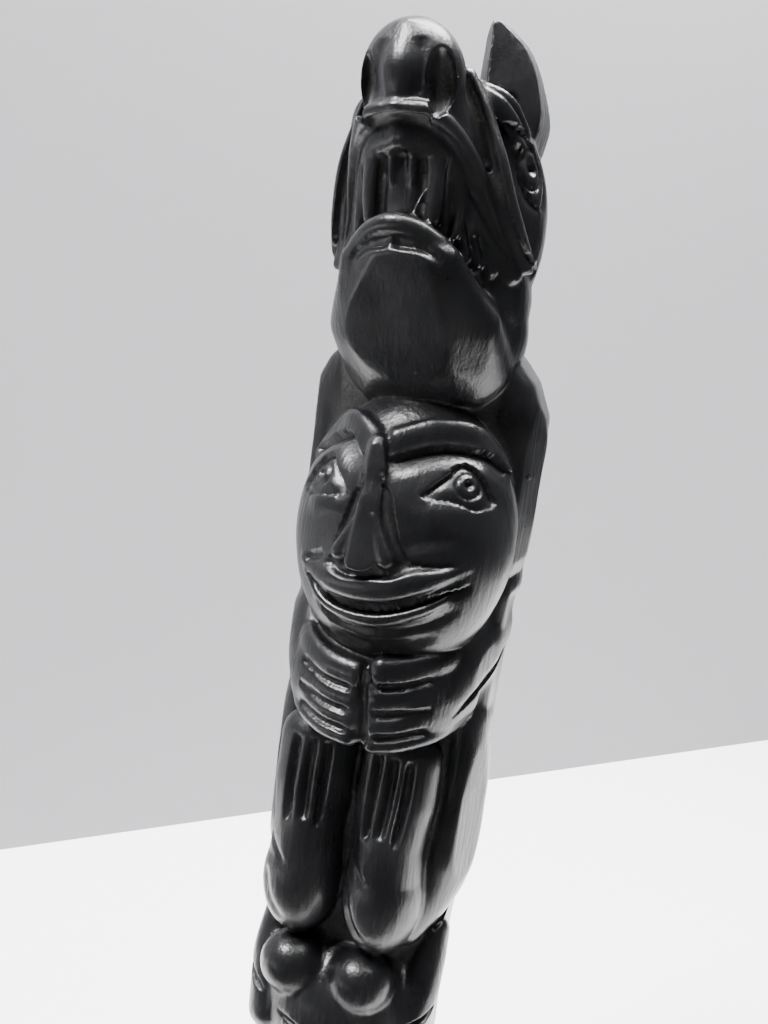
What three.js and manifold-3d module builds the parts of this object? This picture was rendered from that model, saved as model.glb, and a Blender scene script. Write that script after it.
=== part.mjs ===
// A small argillite totem pole, carved from one piece of black stone on a low square base.
// From the top: a bear with its head thrown back, the round human face that it holds
// between its paws, the bear's own raised feet, and a frog that sits on the base.
// Millimetres, +Z up. The figures face -Y and the plain back faces +Y.

import * as THREE from "three";
import { mergeVertices } from "three/addons/utils/BufferGeometryUtils.js";
import Module from "manifold-3d";

const wasm = await Module();
wasm.setup();

// Driving sizes.
const CARVING_HEIGHT = 192; // from the top of the base to the top of the bear's nose
const BASE_MARGIN = 2.2; // how far the base reaches past the carving, all round
const BASE_HEIGHT = 8;
const BASE_CHAMFER = 1.2; // along the base's top edge

// The figures are a free form and keep their proportions: every number in them is in
// 192nds of the carving's height, in the frame of the pole's axis, with z = 0 on the base.
const UNIT = CARVING_HEIGHT / 192;
const REACH_ASIDE = 17.2; // from the axis to the carving's widest place, on either side
const REACH_FORWARD = 19.6; // from the axis to the foremost place
const BACK = 12; // from the axis to the flat back
const ROOTED = BASE_HEIGHT / 16; // how far the column runs into the base: they are one stone
const SET_BACK = ((REACH_FORWARD - BACK) / 2) * UNIT; // centres the carving on its base
const HEAD_TURN = THREE.MathUtils.degToRad(-6); // the bear looks a little to its right,
const HEAD_TILT = THREE.MathUtils.degToRad(-5); // and its head leans that way
const FACE_LEAN = THREE.MathUtils.degToRad(-7); // the human face looks a little upwards
const MERGE = 2e-3; // corners of a mesh that are closer than this are one

const v = (x, y, z) => new THREE.Vector3(x, y, z);

// A closed three.js geometry as a solid that can be joined and cut.
function solid(geometry) {
  const bare = new THREE.BufferGeometry();
  bare.setAttribute("position", geometry.getAttribute("position"));
  if (geometry.index) bare.setIndex(geometry.index);
  const merged = mergeVertices(bare, MERGE);
  const corners = merged.index.array;
  const kept = [];
  for (let i = 0; i < corners.length; i += 3) {
    const [a, b, c] = [corners[i], corners[i + 1], corners[i + 2]];
    if (a !== b && b !== c && c !== a) kept.push(a, b, c);
  }
  return new wasm.Manifold(
    new wasm.Mesh({
      numProp: 3,
      vertProperties: merged.attributes.position.array,
      triVerts: new Uint32Array(kept),
    }),
  );
}

// A solid's surface as a three.js geometry.
function surface(made) {
  const mesh = made.getMesh();
  const geometry = new THREE.BufferGeometry();
  geometry.setAttribute("position", new THREE.BufferAttribute(mesh.vertProperties, 3));
  geometry.setIndex(new THREE.BufferAttribute(mesh.triVerts, 1));
  return geometry;
}

const moved = (made, matrix) => solid(surface(made).applyMatrix4(matrix));

// The same solid on the pole's other side.
function mirrored(made) {
  const geometry = surface(made);
  const position = geometry.getAttribute("position");
  for (let i = 0; i < position.count; i++) position.setX(i, -position.getX(i));
  const corners = geometry.index.array;
  for (let i = 0; i < corners.length; i += 3) {
    [corners[i + 1], corners[i + 2]] = [corners[i + 2], corners[i + 1]];
  }
  return solid(geometry);
}

const pair = (made) => made.add(mirrored(made));
const joined = (solids) => solids.reduce((all, one) => all.add(one));

// An egg form, with its long axis upright unless it is leaned by a turn about X.
function egg(at, radii, round = 16, rings = 10, lean = 0) {
  const geometry = new THREE.SphereGeometry(1, round, rings);
  geometry.rotateX(Math.PI / 2);
  geometry.scale(...radii);
  geometry.rotateX(lean);
  geometry.translate(...at);
  return solid(geometry);
}

// A carved strand, such as a limb, a finger, a lip or a brow: a capsule bent along a path.
// Each thickness is [proud, along], half the strand's size away from the pole and along its
// surface, and the list is spread evenly over the path.
function strand(path, thickness, sides = 6, steps = 4, facing = null) {
  const curve = new THREE.CatmullRomCurve3(path, false, "centripetal");
  const geometry = new THREE.CapsuleGeometry(1, steps, sides > 6 ? 2 : 1, sides, steps);
  const position = geometry.getAttribute("position");
  for (let i = 0; i < position.count; i++) {
    const along = THREE.MathUtils.clamp(position.getY(i), -steps / 2, steps / 2);
    const past = position.getY(i) - along;
    const share = along / steps + 0.5;
    const place = share * (thickness.length - 1);
    const before = Math.min(Math.floor(place), Math.max(thickness.length - 2, 0));
    const after = Math.min(before + 1, thickness.length - 1);
    const [proud, wide] = [0, 1].map((k) =>
      THREE.MathUtils.lerp(thickness[before][k], thickness[after][k], place - before),
    );
    const middle = curve.getPointAt(share);
    const tangent = curve.getTangentAt(share);
    const out = facing ? facing.clone() : v(middle.x, middle.y, 0);
    out.addScaledVector(tangent, -out.dot(tangent)).normalize();
    const side = out.clone().cross(tangent);
    middle.addScaledVector(tangent, past * Math.min(proud, wide));
    middle.addScaledVector(out, position.getX(i) * proud);
    middle.addScaledVector(side, position.getZ(i) * wide);
    position.setXYZ(i, middle.x, middle.y, middle.z);
  }
  return solid(geometry);
}

// A flat outline in the y-z plane, run through the pole from side to side.
function crossCut(outline, halfWidth) {
  const shape = new THREE.Shape(outline.map(([y, z]) => new THREE.Vector2(y, z)));
  const geometry = new THREE.ExtrudeGeometry(shape, { depth: 2 * halfWidth, bevelEnabled: false });
  geometry.translate(0, 0, -halfWidth);
  geometry.applyMatrix4(new THREE.Matrix4().makeBasis(v(0, 1, 0), v(0, 0, 1), v(1, 0, 0)));
  return solid(geometry);
}

// Takes off everything beyond the plane through a point: one flat cut of the knife.
function pared(made, point, normal) {
  const reach = 60;
  const geometry = new THREE.BoxGeometry(2 * reach, 2 * reach, 2 * reach);
  geometry.translate(0, 0, reach);
  const turn = new THREE.Quaternion().setFromUnitVectors(v(0, 0, 1), normal.clone().normalize());
  geometry.applyQuaternion(turn);
  geometry.translate(...point);
  return made.subtract(solid(geometry));
}

// A frame on an egg form's front, at x and z before its lean: its z axis points out of the stone.
function seat({ at, radii, lean = 0 }, x, z, sink = 0) {
  const [across, high] = [(x - at[0]) / radii[0], (z - at[2]) / radii[2]];
  const deep = -Math.sqrt(Math.max(1 - across * across - high * high, 0));
  const out = v(across / radii[0], deep / radii[1], high / radii[2]).normalize();
  const right = v(0, 0, 1).cross(out).normalize();
  const up = out.clone().cross(right);
  const point = v(x, deep * radii[1], z - at[2]).addScaledVector(out, -sink);
  const upright = new THREE.Matrix4().makeBasis(right, up, out).setPosition(point);
  return new THREE.Matrix4().makeRotationX(lean).setPosition(...at).multiply(upright);
}

// An eye in low relief: an almond cut into the stone, the ball in it, and its iris and pupil.
// frame lies on the stone, its z axis outwards, and lean turns the almond in it.
function eye(stone, frame, { long, high, iris, sunk, lean = 0 }) {
  const half = long / 2;
  const almond = new THREE.Shape();
  almond.moveTo(-half, 0);
  almond.quadraticCurveTo(0, 1.24 * high, half, 0);
  almond.quadraticCurveTo(0, -0.84 * high, -half, 0);
  const socket = new THREE.ExtrudeGeometry(almond, { depth: 4, bevelEnabled: false, curveSegments: 3 });
  const ball = new THREE.SphereGeometry(1, 8, 4);
  const disc = new THREE.CylinderGeometry(iris, iris, sunk, 8);
  const pupil = new THREE.CylinderGeometry(0.36 * iris, 0.36 * iris, sunk, 5);
  socket.translate(0, 0, -sunk);
  ball.scale(0.42 * long, 0.5 * high, 0.9 * sunk);
  ball.translate(0, 0, -sunk);
  disc.rotateX(Math.PI / 2);
  disc.translate(0, 0.04 * high, -0.45 * sunk);
  pupil.rotateX(Math.PI / 2);
  pupil.translate(0, 0.04 * high, 0.1 * sunk);
  const turned = frame.clone().multiply(new THREE.Matrix4().makeRotationZ(lean));
  const [hole, globe, round, dot] = [socket, ball, disc, pupil].map((g) => solid(g.applyMatrix4(turned)));
  return stone.subtract(hole).add(globe).add(round).subtract(dot);
}

// The eye on one side and its mirror image on the other.
function eyes(stone, frame, look) {
  const right = eye(stone, frame, look);
  return eye(mirrored(right), frame, look);
}

// The column that all the figures stand out from. It is flat behind, and round in front.
function column() {
  const stations = [
    { z: -ROOTED / UNIT, half: 15.5, front: 11 },
    { z: 22, half: 13.6, front: 9 },
    { z: 52, half: 13.6, front: 8 },
    { z: 84, half: 15.6, front: 7 },
    { z: 100, half: 16, front: 5 },
    { z: 138, half: 17.8, front: 4 },
    { z: 143.5, half: 15.4, front: 4 },
    { z: 148, half: 11, front: 4 },
  ];
  const square = 0.42; // the power that squares the back off, and leaves its corners round
  const geometry = new THREE.CylinderGeometry(1, 1, 1, 16, 8);
  geometry.rotateX(Math.PI / 2);
  const position = geometry.getAttribute("position");
  const [low, high] = [stations[0].z, stations.at(-1).z];
  for (let i = 0; i < position.count; i++) {
    const z = THREE.MathUtils.lerp(low, high, position.getZ(i) + 0.5);
    const above = Math.max(1, stations.findIndex((s) => s.z >= z - MERGE));
    const [a, b] = [stations[above - 1], stations[above]];
    const share = THREE.MathUtils.smoothstep(z, a.z, b.z);
    const half = THREE.MathUtils.lerp(a.half, b.half, share);
    const front = THREE.MathUtils.lerp(a.front, b.front, share);
    const [x, y] = [position.getX(i), position.getY(i)];
    const behind = y > 0;
    const across = behind ? Math.sign(x) * Math.abs(x) ** square : x;
    position.setXYZ(i, half * across, behind ? BACK * y ** square : front * y, z);
  }
  return solid(geometry);
}

// The bear's head, thrown back with its mouth open. It is carved facing straight ahead and
// turned at the neck.
function bearHead() {
  const ahead = v(0, -1, 0);
  const skull = { at: [0, 2.4, 164.5], radii: [15.4, 10, 20] };
  const neck = egg([0, 1.2, 149], [13, 9.4, 12.5], 12, 6);
  const muzzle = strand(
    [v(0, 0, 155), v(0, -4.6, 168), v(0, -9.8, 181.4)],
    [[8, 12.4], [7.5, 10.0], [6.6, 6.8]],
    12,
    4,
    ahead,
  );
  let jaw = strand(
    [v(0, -0.5, 144), v(0, -7.6, 150.5), v(0, -12.8, 158)],
    [[8.5, 13], [7.2, 12.6], [4.4, 8.8]],
    12,
    4,
    ahead,
  ).add(neck);

  // Flat cuts shape the underside of the jaw: one in the middle, and two on each side of it.
  jaw = pared(jaw, [0, -16.6, 158.4], v(0, -0.92, -0.39));
  jaw = pared(jaw, [5.4, -16.4, 158], v(0.62, -0.75, -0.2));
  jaw = pared(jaw, [7.3, -12.2, 148], v(0.6, -0.7, -0.52));
  jaw = pared(jaw, [-2.8, -16.4, 158], v(-0.4, -0.9, -0.09));
  jaw = pared(jaw, [-10, -12.2, 148], v(-0.6, -0.7, -0.62));

  // The open mouth, from its corners on the cheeks to the lips in front.
  const mouth = crossCut(
    [
      [-1.6, 155.2],
      [-13.0, 162.4],
      [-26, 163.5],
      [-26, 177.5],
      [-15.5, 176.2],
      [-8.5, 171.5],
    ],
    24,
  );
  let head = joined([egg(skull.at, skull.radii, 16, 9), muzzle, jaw]).subtract(mouth);
  const upperLip = strand(
    [
      v(-0.4, -15.9, 177.2),
      v(4.2, -15.2, 176.6),
      v(6.8, -12.2, 174.2),
      v(10.8, -5.8, 163.8),
      v(13, -2.8, 156.6),
    ],
    [[1.4, 1.2], [1.1, 1.4], [0.9, 1.4]],
    5,
    5,
  );
  const band = strand(
    [v(-0.4, -14.2, 174.2), v(4.2, -12.8, 173.2), v(8.2, -7.6, 165.6), v(12.4, -3, 156.6)],
    [[1.4, 2.0], [1.2, 1.7]],
    5,
    3,
  );
  const lowerLip = strand(
    [v(-5.8, -13.6, 160.4), v(0, -15.5, 162.7), v(5.8, -13.6, 160.4)],
    [[1.3, 1.2], [1.7, 1.6], [1.3, 1.2]],
    6,
    4,
    ahead,
  );

  // The palate and tongue, and the few broad teeth that stand before them.
  const palate = egg([0, -5, 167], [9.8, 8.4, 11.5], 8, 6);
  const tongue = strand(
    [v(0, -4, 157), v(0, -9.5, 161.4), v(0, -12, 164.4)],
    [[1.8, 4.6], [1.8, 4.2], [1.2, 2.6]],
    6,
    2,
    ahead,
  );
  const teeth = [
    strand([v(4.3, -11.6, 173), v(4.4, -12.8, 163.4)], [[1.5, 1.5], [1.2, 0.8]], 5, 1),
    strand([v(6.9, -9.6, 169.4), v(6.9, -11.2, 161.6)], [[1.2, 1.1], [1.0, 0.7]], 5, 1),
  ];
  head = joined([head, palate, tongue, lowerLip, pair(joined([upperLip, band, ...teeth]))]);

  // The nose: a dome, the bar down its middle, and a nostril on each side of that.
  const dome = egg([0, -10.6, 181.2], [7.3, 5.6, 8.2], 10, 6, THREE.MathUtils.degToRad(8));
  const bar = strand([v(0, -14.8, 178.2), v(0, -15.6, 182.2), v(0, -13.4, 187.4)], [[1.8, 2.2]], 6, 3, ahead);
  const nostril = egg([5.6, -15.6, 180.8], [1.9, 4.2, 4.8], 6, 5, THREE.MathUtils.degToRad(16));
  head = joined([head, dome, bar]).subtract(pair(nostril));

  // The brow, the ridge between muzzle and eye, and the eyes.
  const brow = strand(
    [v(7.2, -5.2, 180.6), v(10, -3.8, 179), v(12, -1.4, 175.8), v(13.2, 2, 171.6)],
    [[1.5, 1.9], [1.5, 2.4], [1.0, 1.2]],
    6,
    3,
  );
  const cheek = strand(
    [v(6.4, -7, 182.5), v(8.6, -6.8, 178), v(11, -6.8, 171.7), v(12.8, -5.2, 164.6), v(14.4, -1.8, 158)],
    [[1.2, 1.0], [1.4, 1.3], [1.2, 1.2]],
    5,
    5,
  );
  head = head.add(pair(brow.add(cheek)));
  head = eyes(head, seat(skull, 14, 171, -0.3), { long: 9.4, high: 4.8, iris: 1.7, sunk: 1.2, lean: 1.35 });

  // Upright leaf-shaped ears, each with two flat cuts in front that leave a ridge, one flat cut
  // behind, and a hollow beside the ridge.
  const leaf = new THREE.Shape();
  leaf.moveTo(2.8, 172);
  leaf.lineTo(4.6, 189.4);
  leaf.quadraticCurveTo(5.4, 191.6, 7, 191.5);
  leaf.bezierCurveTo(9.8, 188.6, 13.6, 180.4, 10, 170);
  const block = new THREE.ExtrudeGeometry(leaf, { depth: 10.4, curveSegments: 4, bevelEnabled: false });
  block.applyMatrix4(new THREE.Matrix4().makeBasis(v(1, 0, 0), v(0, 0, 1), v(0, -1, 0)));
  block.translate(0, 9.4, 0);
  let ear = pared(solid(block), [6.2, 1.2, 184], v(-0.81, -0.58, 0.1));
  ear = pared(ear, [6.4, 1.2, 184], v(0.46, -0.87, 0.16));
  ear = pared(ear, [9, 9.4, 186], v(0.6, 0.74, 0.3));
  head = head.add(pair(ear.subtract(egg([9.6, 1.9, 178.8], [1.3, 1.5, 3.2], 6, 4))));

  const nape = v(0, 2, 146);
  const turn = new THREE.Matrix4().makeRotationY(HEAD_TILT);
  turn.multiply(new THREE.Matrix4().makeRotationZ(HEAD_TURN));
  const back = new THREE.Matrix4().makeTranslation(nape.clone().negate());
  return moved(head, turn.setPosition(nape).multiply(back));
}

// The bear's shoulders and arms, which come forward under the human face.
function bearArms() {
  const upper = strand(
    [v(8, 2.6, 143.4), v(12.6, 3.8, 138), v(13, 3.6, 126), v(12.6, 3.8, 114)],
    [[3.6, 5], [4.8, 6.6], [4.8, 7], [4.8, 6]],
    8,
    4,
  );
  const lower = strand(
    [v(11.8, 4.4, 105.6), v(11.8, -2.4, 102.4), v(9.6, -8.2, 97.8)],
    [[5.0, 7], [4.5, 6.2], [4.0, 5.0]],
    8,
    3,
  );
  return pair(upper.add(lower));
}

// The bear's folded legs, long smooth forms on the pole's sides that turn in below.
function bearLegs() {
  const leg = strand(
    [v(12.2, 2.4, 92), v(12.7, 1.8, 80), v(12.2, -0.6, 67), v(8.2, -6, 59)],
    [[4.0, 7], [4.4, 8.4], [4.3, 7.4], [3.6, 4]],
    9,
    5,
  );
  return pair(leg);
}

// The bear's body. A long flat cut on each side takes off the outside of the arms and shoulders.
function bearBody() {
  let body = joined([column(), bearArms(), bearLegs()]);
  for (const side of [-1, 1]) {
    body = pared(body, [side * 16.7, -0.6, 125], v(side * 0.95, -0.31, 0));
  }
  return body;
}

// One of the bear's hands, with four fingers one above the other. heights are the middles of the
// fingers, which end at meeting, near the middle of the pole.
function bearHand(side, heights, meeting) {
  const thick = [2.3, 2.2, 1.9, 1.5];
  const fingers = heights.map((z, i) =>
    strand(
      [
        v(side * 12, -5.4, z + 2.4),
        v(side * 9.6, -10.6, z + 1.2),
        v(side * 5.2, -13.9, z),
        v(meeting + side * 1.6, -15, z - 0.3),
      ],
      [[1.6, thick[i]], [1.8, thick[i]]],
      6,
      2,
    ),
  );
  const palm = strand(
    [v(side * 11.6, -5, 98.6), v(side * 8.6, -10, 97.2), v(meeting, -12.9, 95.8)],
    [[3.2, 6.2], [3.0, 6.0]],
    6,
    2,
  );
  return joined([palm, ...fingers]);
}

// The round human face: brows, long nose, ringed eyes and a wide, curved mouth. Its two halves
// differ a little, as it is carved by eye.
function humanFace() {
  const form = { at: [0.9, -5.8, 119.9], radii: [16.3, 11.3, 20.4], lean: FACE_LEAN };
  const on = (x, z, proud = 0) => v(0, 0, 0).setFromMatrixPosition(seat(form, x, z, -proud));
  const along = (places, sink) => places.map(([x, z]) => on(x, z, -sink));
  const brows = [
    [[0.2, 132.4], [6, 134.8], [11.2, 134.2], [14.4, 130.4]],
    [[-3.6, 132], [-7.8, 134.2], [-12, 133.2], [-14, 129.4]],
  ].map((places) => strand(along(places, 0.6), [[1.4, 2.6]], 5, 3));
  const cheeks = [
    [[5, 122], [9.8, 122.6], [13.4, 123.6]],
    [[-6.4, 121], [-10.6, 121.4], [-13.2, 121.8]],
  ].map((places) => strand(along(places, 0.5), [[0.5, 1.6], [1.0, 2.8], [0.5, 1.6]], 5, 2));
  let face = joined([egg(form.at, form.radii, 16, 10, form.lean), ...brows, ...cheeks]);
  const look = { long: 11, high: 5.8, iris: 1.8, sunk: 1.3 };
  face = eye(face, seat(form, 10.4, 128.4), { ...look, lean: -0.08 });
  face = eye(face, seat(form, -10.6, 126.8), { ...look, lean: 0.08 });

  let nose = strand(
    [on(-2.4, 132, -0.2), on(-1.8, 124.6, 1.6), on(-1.3, 117.8, 2.6)],
    [[1.8, 1.6], [2.4, 2.3], [3.0, 3.2]],
    6,
    2,
    v(0, -1, 0),
  );
  nose = pared(nose, [-1.2, -19.3, 117], v(0.1, -0.96, 0.27));
  const wings = [-4.4, 2].map((x) => egg(on(x, 117, 0.7).toArray(), [1.8, 1.8, 1.5], 6, 4));
  const upperLip = strand(
    [
      on(-11.4, 114.2, -0.3),
      on(-6, 112.6, 0.2),
      on(1, 112.7, 0.5),
      on(7.4, 114.9, 0.2),
      on(13.2, 117.2, -0.3),
    ],
    [[0.9, 1.0], [1.3, 2.0], [1.3, 1.9], [0.8, 0.9]],
    5,
    6,
  );
  const lowerLip = strand(
    [
      on(-10.8, 112.6, -0.4),
      on(-6.2, 109.2, 0.2),
      on(0.6, 108.4, 0.3),
      on(7, 110.8, 0.2),
      on(12.4, 114.4, -0.4),
    ],
    [[0.9, 0.9], [1.3, 1.3], [1.3, 1.3], [0.8, 0.9]],
    5,
    6,
  );
  return joined([face, nose, ...wings, upperLip, lowerLip]);
}

// One of the bear's raised feet: four toes upwards, a waist, and a long rounded heel.
function raisedFoot(middle) {
  const heel = egg([middle, -7.8, 63.8], [6.3, 7.2, 9.4], 10, 6);
  const sole = strand(
    [v(middle, -7.6, 66), v(middle, -7.6, 72.5), v(middle, -7.4, 79), v(middle, -7.2, 86.6)],
    [[6.8, 5.9], [6.3, 5.5], [5.4, 6.1], [4.2, 6.0]],
    7,
    3,
    v(0, -1, 0),
  );
  const toes = [-4.5, -1.5, 1.5, 4.5].map((aside) => {
    const [x, y] = [middle + aside, -11.3 + 0.05 * aside * aside];
    const low = middle + 0.62 * aside;
    const path = [v(low, y + 1.2, 74), v(x, y - 0.2, 81), v(x, y + 0.8, 88)];
    return strand(path, [[1.3, 1.2], [1.7, 1.6]], 5, 1);
  });
  return joined([heel, sole, ...toes]);
}

// The frog under the bear's feet, plain and compact: wide mouth, round eyes, folded legs. Its
// eyes stand a little to one side, under the feet.
function frog() {
  let body = joined([
    egg([0.4, -2.6, 42], [14.2, 13.2, 13.4], 12, 8),
    egg([0, -1.5, 22], [13, 10.4, 22], 12, 6),
    egg([4.1, -10.4, 50], [5.2, 4.9, 5.0], 8, 6),
    egg([-7.1, -10.4, 50], [5.2, 4.9, 5.0], 8, 6),
  ]);
  const mouth = [v(15.4, -6.5, 46.2), v(10.6, -12.8, 43.6), v(-0.4, -16.8, 41.6)];
  body = body.subtract(pair(strand(mouth, [[1.0, 0.6]], 5, 4)));
  const jowl = [v(10.6, -9.4, 40), v(12.4, -5.4, 48), v(12.6, -0.5, 56)];
  const cheek = strand(jowl, [[3.2, 3.6], [2.4, 3.2]], 6, 2);
  const arm = [v(12, 1.5, 31), v(13.4, -3.4, 20), v(10.6, -9.6, 7)];
  const foreleg = strand(arm, [[3.6, 4.6], [2.6, 3.2]], 6, 2);
  const toes = [0, 1, 2].map((i) =>
    strand(
      [v(11.6 - 3 * i, -9.6 - 0.9 * i, 6.6), v(11.8 - 3.4 * i, -12.2 - 0.7 * i, 1)],
      [[1.6, 1.5]],
      4,
      1,
    ),
  );
  const haunch = egg([12.2, 4.4, 13], [4.4, 6.6, 12], 8, 5);
  const foot = strand([v(13.4, 7, 2.4), v(14.4, -1, 1.8)], [[2.2, 2.6]], 6, 2);
  return body.add(pair(joined([cheek, foreleg, haunch, foot, ...toes])));
}

// The base is a plain block with its top edge taken off.
function baseBlock() {
  const shape = new THREE.Shape();
  const x = REACH_ASIDE * UNIT + BASE_MARGIN;
  const y = ((REACH_FORWARD + BACK) / 2) * UNIT + BASE_MARGIN;
  const chamfer = Math.min(BASE_CHAMFER, BASE_HEIGHT / 2);
  shape.moveTo(-x, -y);
  shape.lineTo(x, -y);
  shape.lineTo(x, y);
  shape.lineTo(-x, y);
  const block = new THREE.ExtrudeGeometry(shape, { depth: BASE_HEIGHT, bevelEnabled: false });
  let made = solid(block);
  for (const [dx, dy] of [[1, 0], [-1, 0], [0, 1], [0, -1]]) {
    const edge = [dx * (x - chamfer), dy * (y - chamfer), BASE_HEIGHT];
    made = pared(made, edge, v(dx, dy, 1));
  }
  return made;
}

// All that is carved above the base, brought to its real height and set on the base.
function carving() {
  const parting = -1.2; // the x where the two feet meet, as they lie a little to one side
  const apart = 6.5; // from there to the middle of either foot
  const drawn = joined([
    bearBody(),
    humanFace(),
    bearHand(1, [101.8, 97.7, 93.8, 90.9], 1),
    bearHand(-1, [100.6, 96.9, 94, 91.2], 0.6),
    raisedFoot(parting - apart),
    raisedFoot(parting + apart),
    frog(),
    bearHead(),
  ]);
  const place = new THREE.Matrix4().makeTranslation(0, SET_BACK, BASE_HEIGHT);
  return moved(drawn, place.multiply(new THREE.Matrix4().makeScale(UNIT, UNIT, UNIT)));
}

const argillite = new THREE.MeshStandardMaterial({ color: 0x1c1c1f, roughness: 0.32, metalness: 0 });
const pole = new THREE.Mesh(surface(baseBlock().add(carving())), argillite);
pole.name = "totem_pole";
const object = new THREE.Group();
object.add(pole);
export default object;
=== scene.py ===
"""A small totem pole of polished argillite, the black slate that model poles are carved from.

From the top it shows a bear with its head thrown back, the round human face that the bear
holds, the bear's own raised feet, and a frog that sits on a low square base. The whole pole
is one stone, so it is one mesh. Each figure is blocked out from primitives, blended, cut with
clean facets, and finished with fine strokes of the knife.
"""

import logging
import math
from collections.abc import Iterable, Sequence
from dataclasses import dataclass, field, replace
from enum import Enum

import bpy
import numpy as np
from mathutils import Euler, Matrix, Vector
from mathutils.bvhtree import BVHTree


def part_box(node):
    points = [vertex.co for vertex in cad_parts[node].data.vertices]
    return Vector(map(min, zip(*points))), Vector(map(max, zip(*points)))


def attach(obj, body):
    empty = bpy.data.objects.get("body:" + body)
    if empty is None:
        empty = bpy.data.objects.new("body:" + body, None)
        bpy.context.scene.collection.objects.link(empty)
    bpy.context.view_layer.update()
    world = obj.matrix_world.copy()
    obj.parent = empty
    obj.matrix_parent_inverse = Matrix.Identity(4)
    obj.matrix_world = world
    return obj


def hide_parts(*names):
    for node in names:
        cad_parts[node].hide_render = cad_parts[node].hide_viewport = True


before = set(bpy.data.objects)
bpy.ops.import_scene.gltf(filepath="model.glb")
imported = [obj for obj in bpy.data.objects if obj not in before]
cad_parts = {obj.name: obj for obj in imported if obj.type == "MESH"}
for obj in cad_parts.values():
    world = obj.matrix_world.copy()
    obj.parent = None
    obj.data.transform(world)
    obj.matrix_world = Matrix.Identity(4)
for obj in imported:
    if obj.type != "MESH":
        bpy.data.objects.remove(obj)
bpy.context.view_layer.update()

LOG = logging.getLogger("totem_pole")

Triple = tuple[float, float, float]
Pair = tuple[float, float]
Piece = bpy.types.Object

# The carving is modelled in millimetres in the frame of the pole's axis, with z = 0 on the
# base, the figures facing -Y and the bear's right paw at -X, then brought into the CAD box.
MILLIMETRE = 0.001
BACK = 12.0
REACH_FORWARD = 19.6
BASE_HEIGHT = 8.0
AXIS = (0, (REACH_FORWARD - BACK) / 2, BASE_HEIGHT)

SIDES = (1, -1)


def vec(x: float, y: float, z: float) -> Vector:
    """A point or a direction."""
    return Vector((x, y, z))


def through(points: Sequence[Triple], count: int) -> np.ndarray:
    """Runs a smooth curve through points.

    Args:
        points: The points that the curve passes through.
        count: How many points of the curve to give.

    Returns:
        An array of count rows, evenly spaced along the curve.
    """
    knots = np.array(points, dtype=float)
    if len(knots) == 2:
        return knots[0] + np.linspace(0, 1, count)[:, None] * (knots[1] - knots[0])
    ends = np.vstack([2 * knots[0] - knots[1], knots, 2 * knots[-1] - knots[-2]])
    pace = np.sqrt(np.linalg.norm(np.diff(ends, axis=0), axis=1))
    when = np.concatenate([[0], np.cumsum(pace)])
    fine = []
    for i in range(1, len(ends) - 2):
        level, at = list(ends[i - 1 : i + 3]), when[i - 1 : i + 3]
        t = np.linspace(at[1], at[2], 24, endpoint=False)[:, None]
        for low, high in (((0, 1, 2), (1, 2, 3)), ((0, 1), (2, 3)), ((1,), (2,))):
            level = [
                ((at[b] - t) * level[k] + (t - at[a]) * level[k + 1]) / (at[b] - at[a])
                for k, (a, b) in enumerate(zip(low, high))
            ]
        fine.append(level[0])
    fine.append(knots[-1:])
    curve = np.vstack(fine)
    length = np.concatenate([[0], np.cumsum(np.linalg.norm(np.diff(curve, axis=0), axis=1))])
    even = np.linspace(0, length[-1], count)
    return np.stack([np.interp(even, length, curve[:, k]) for k in range(3)], axis=1)


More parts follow.
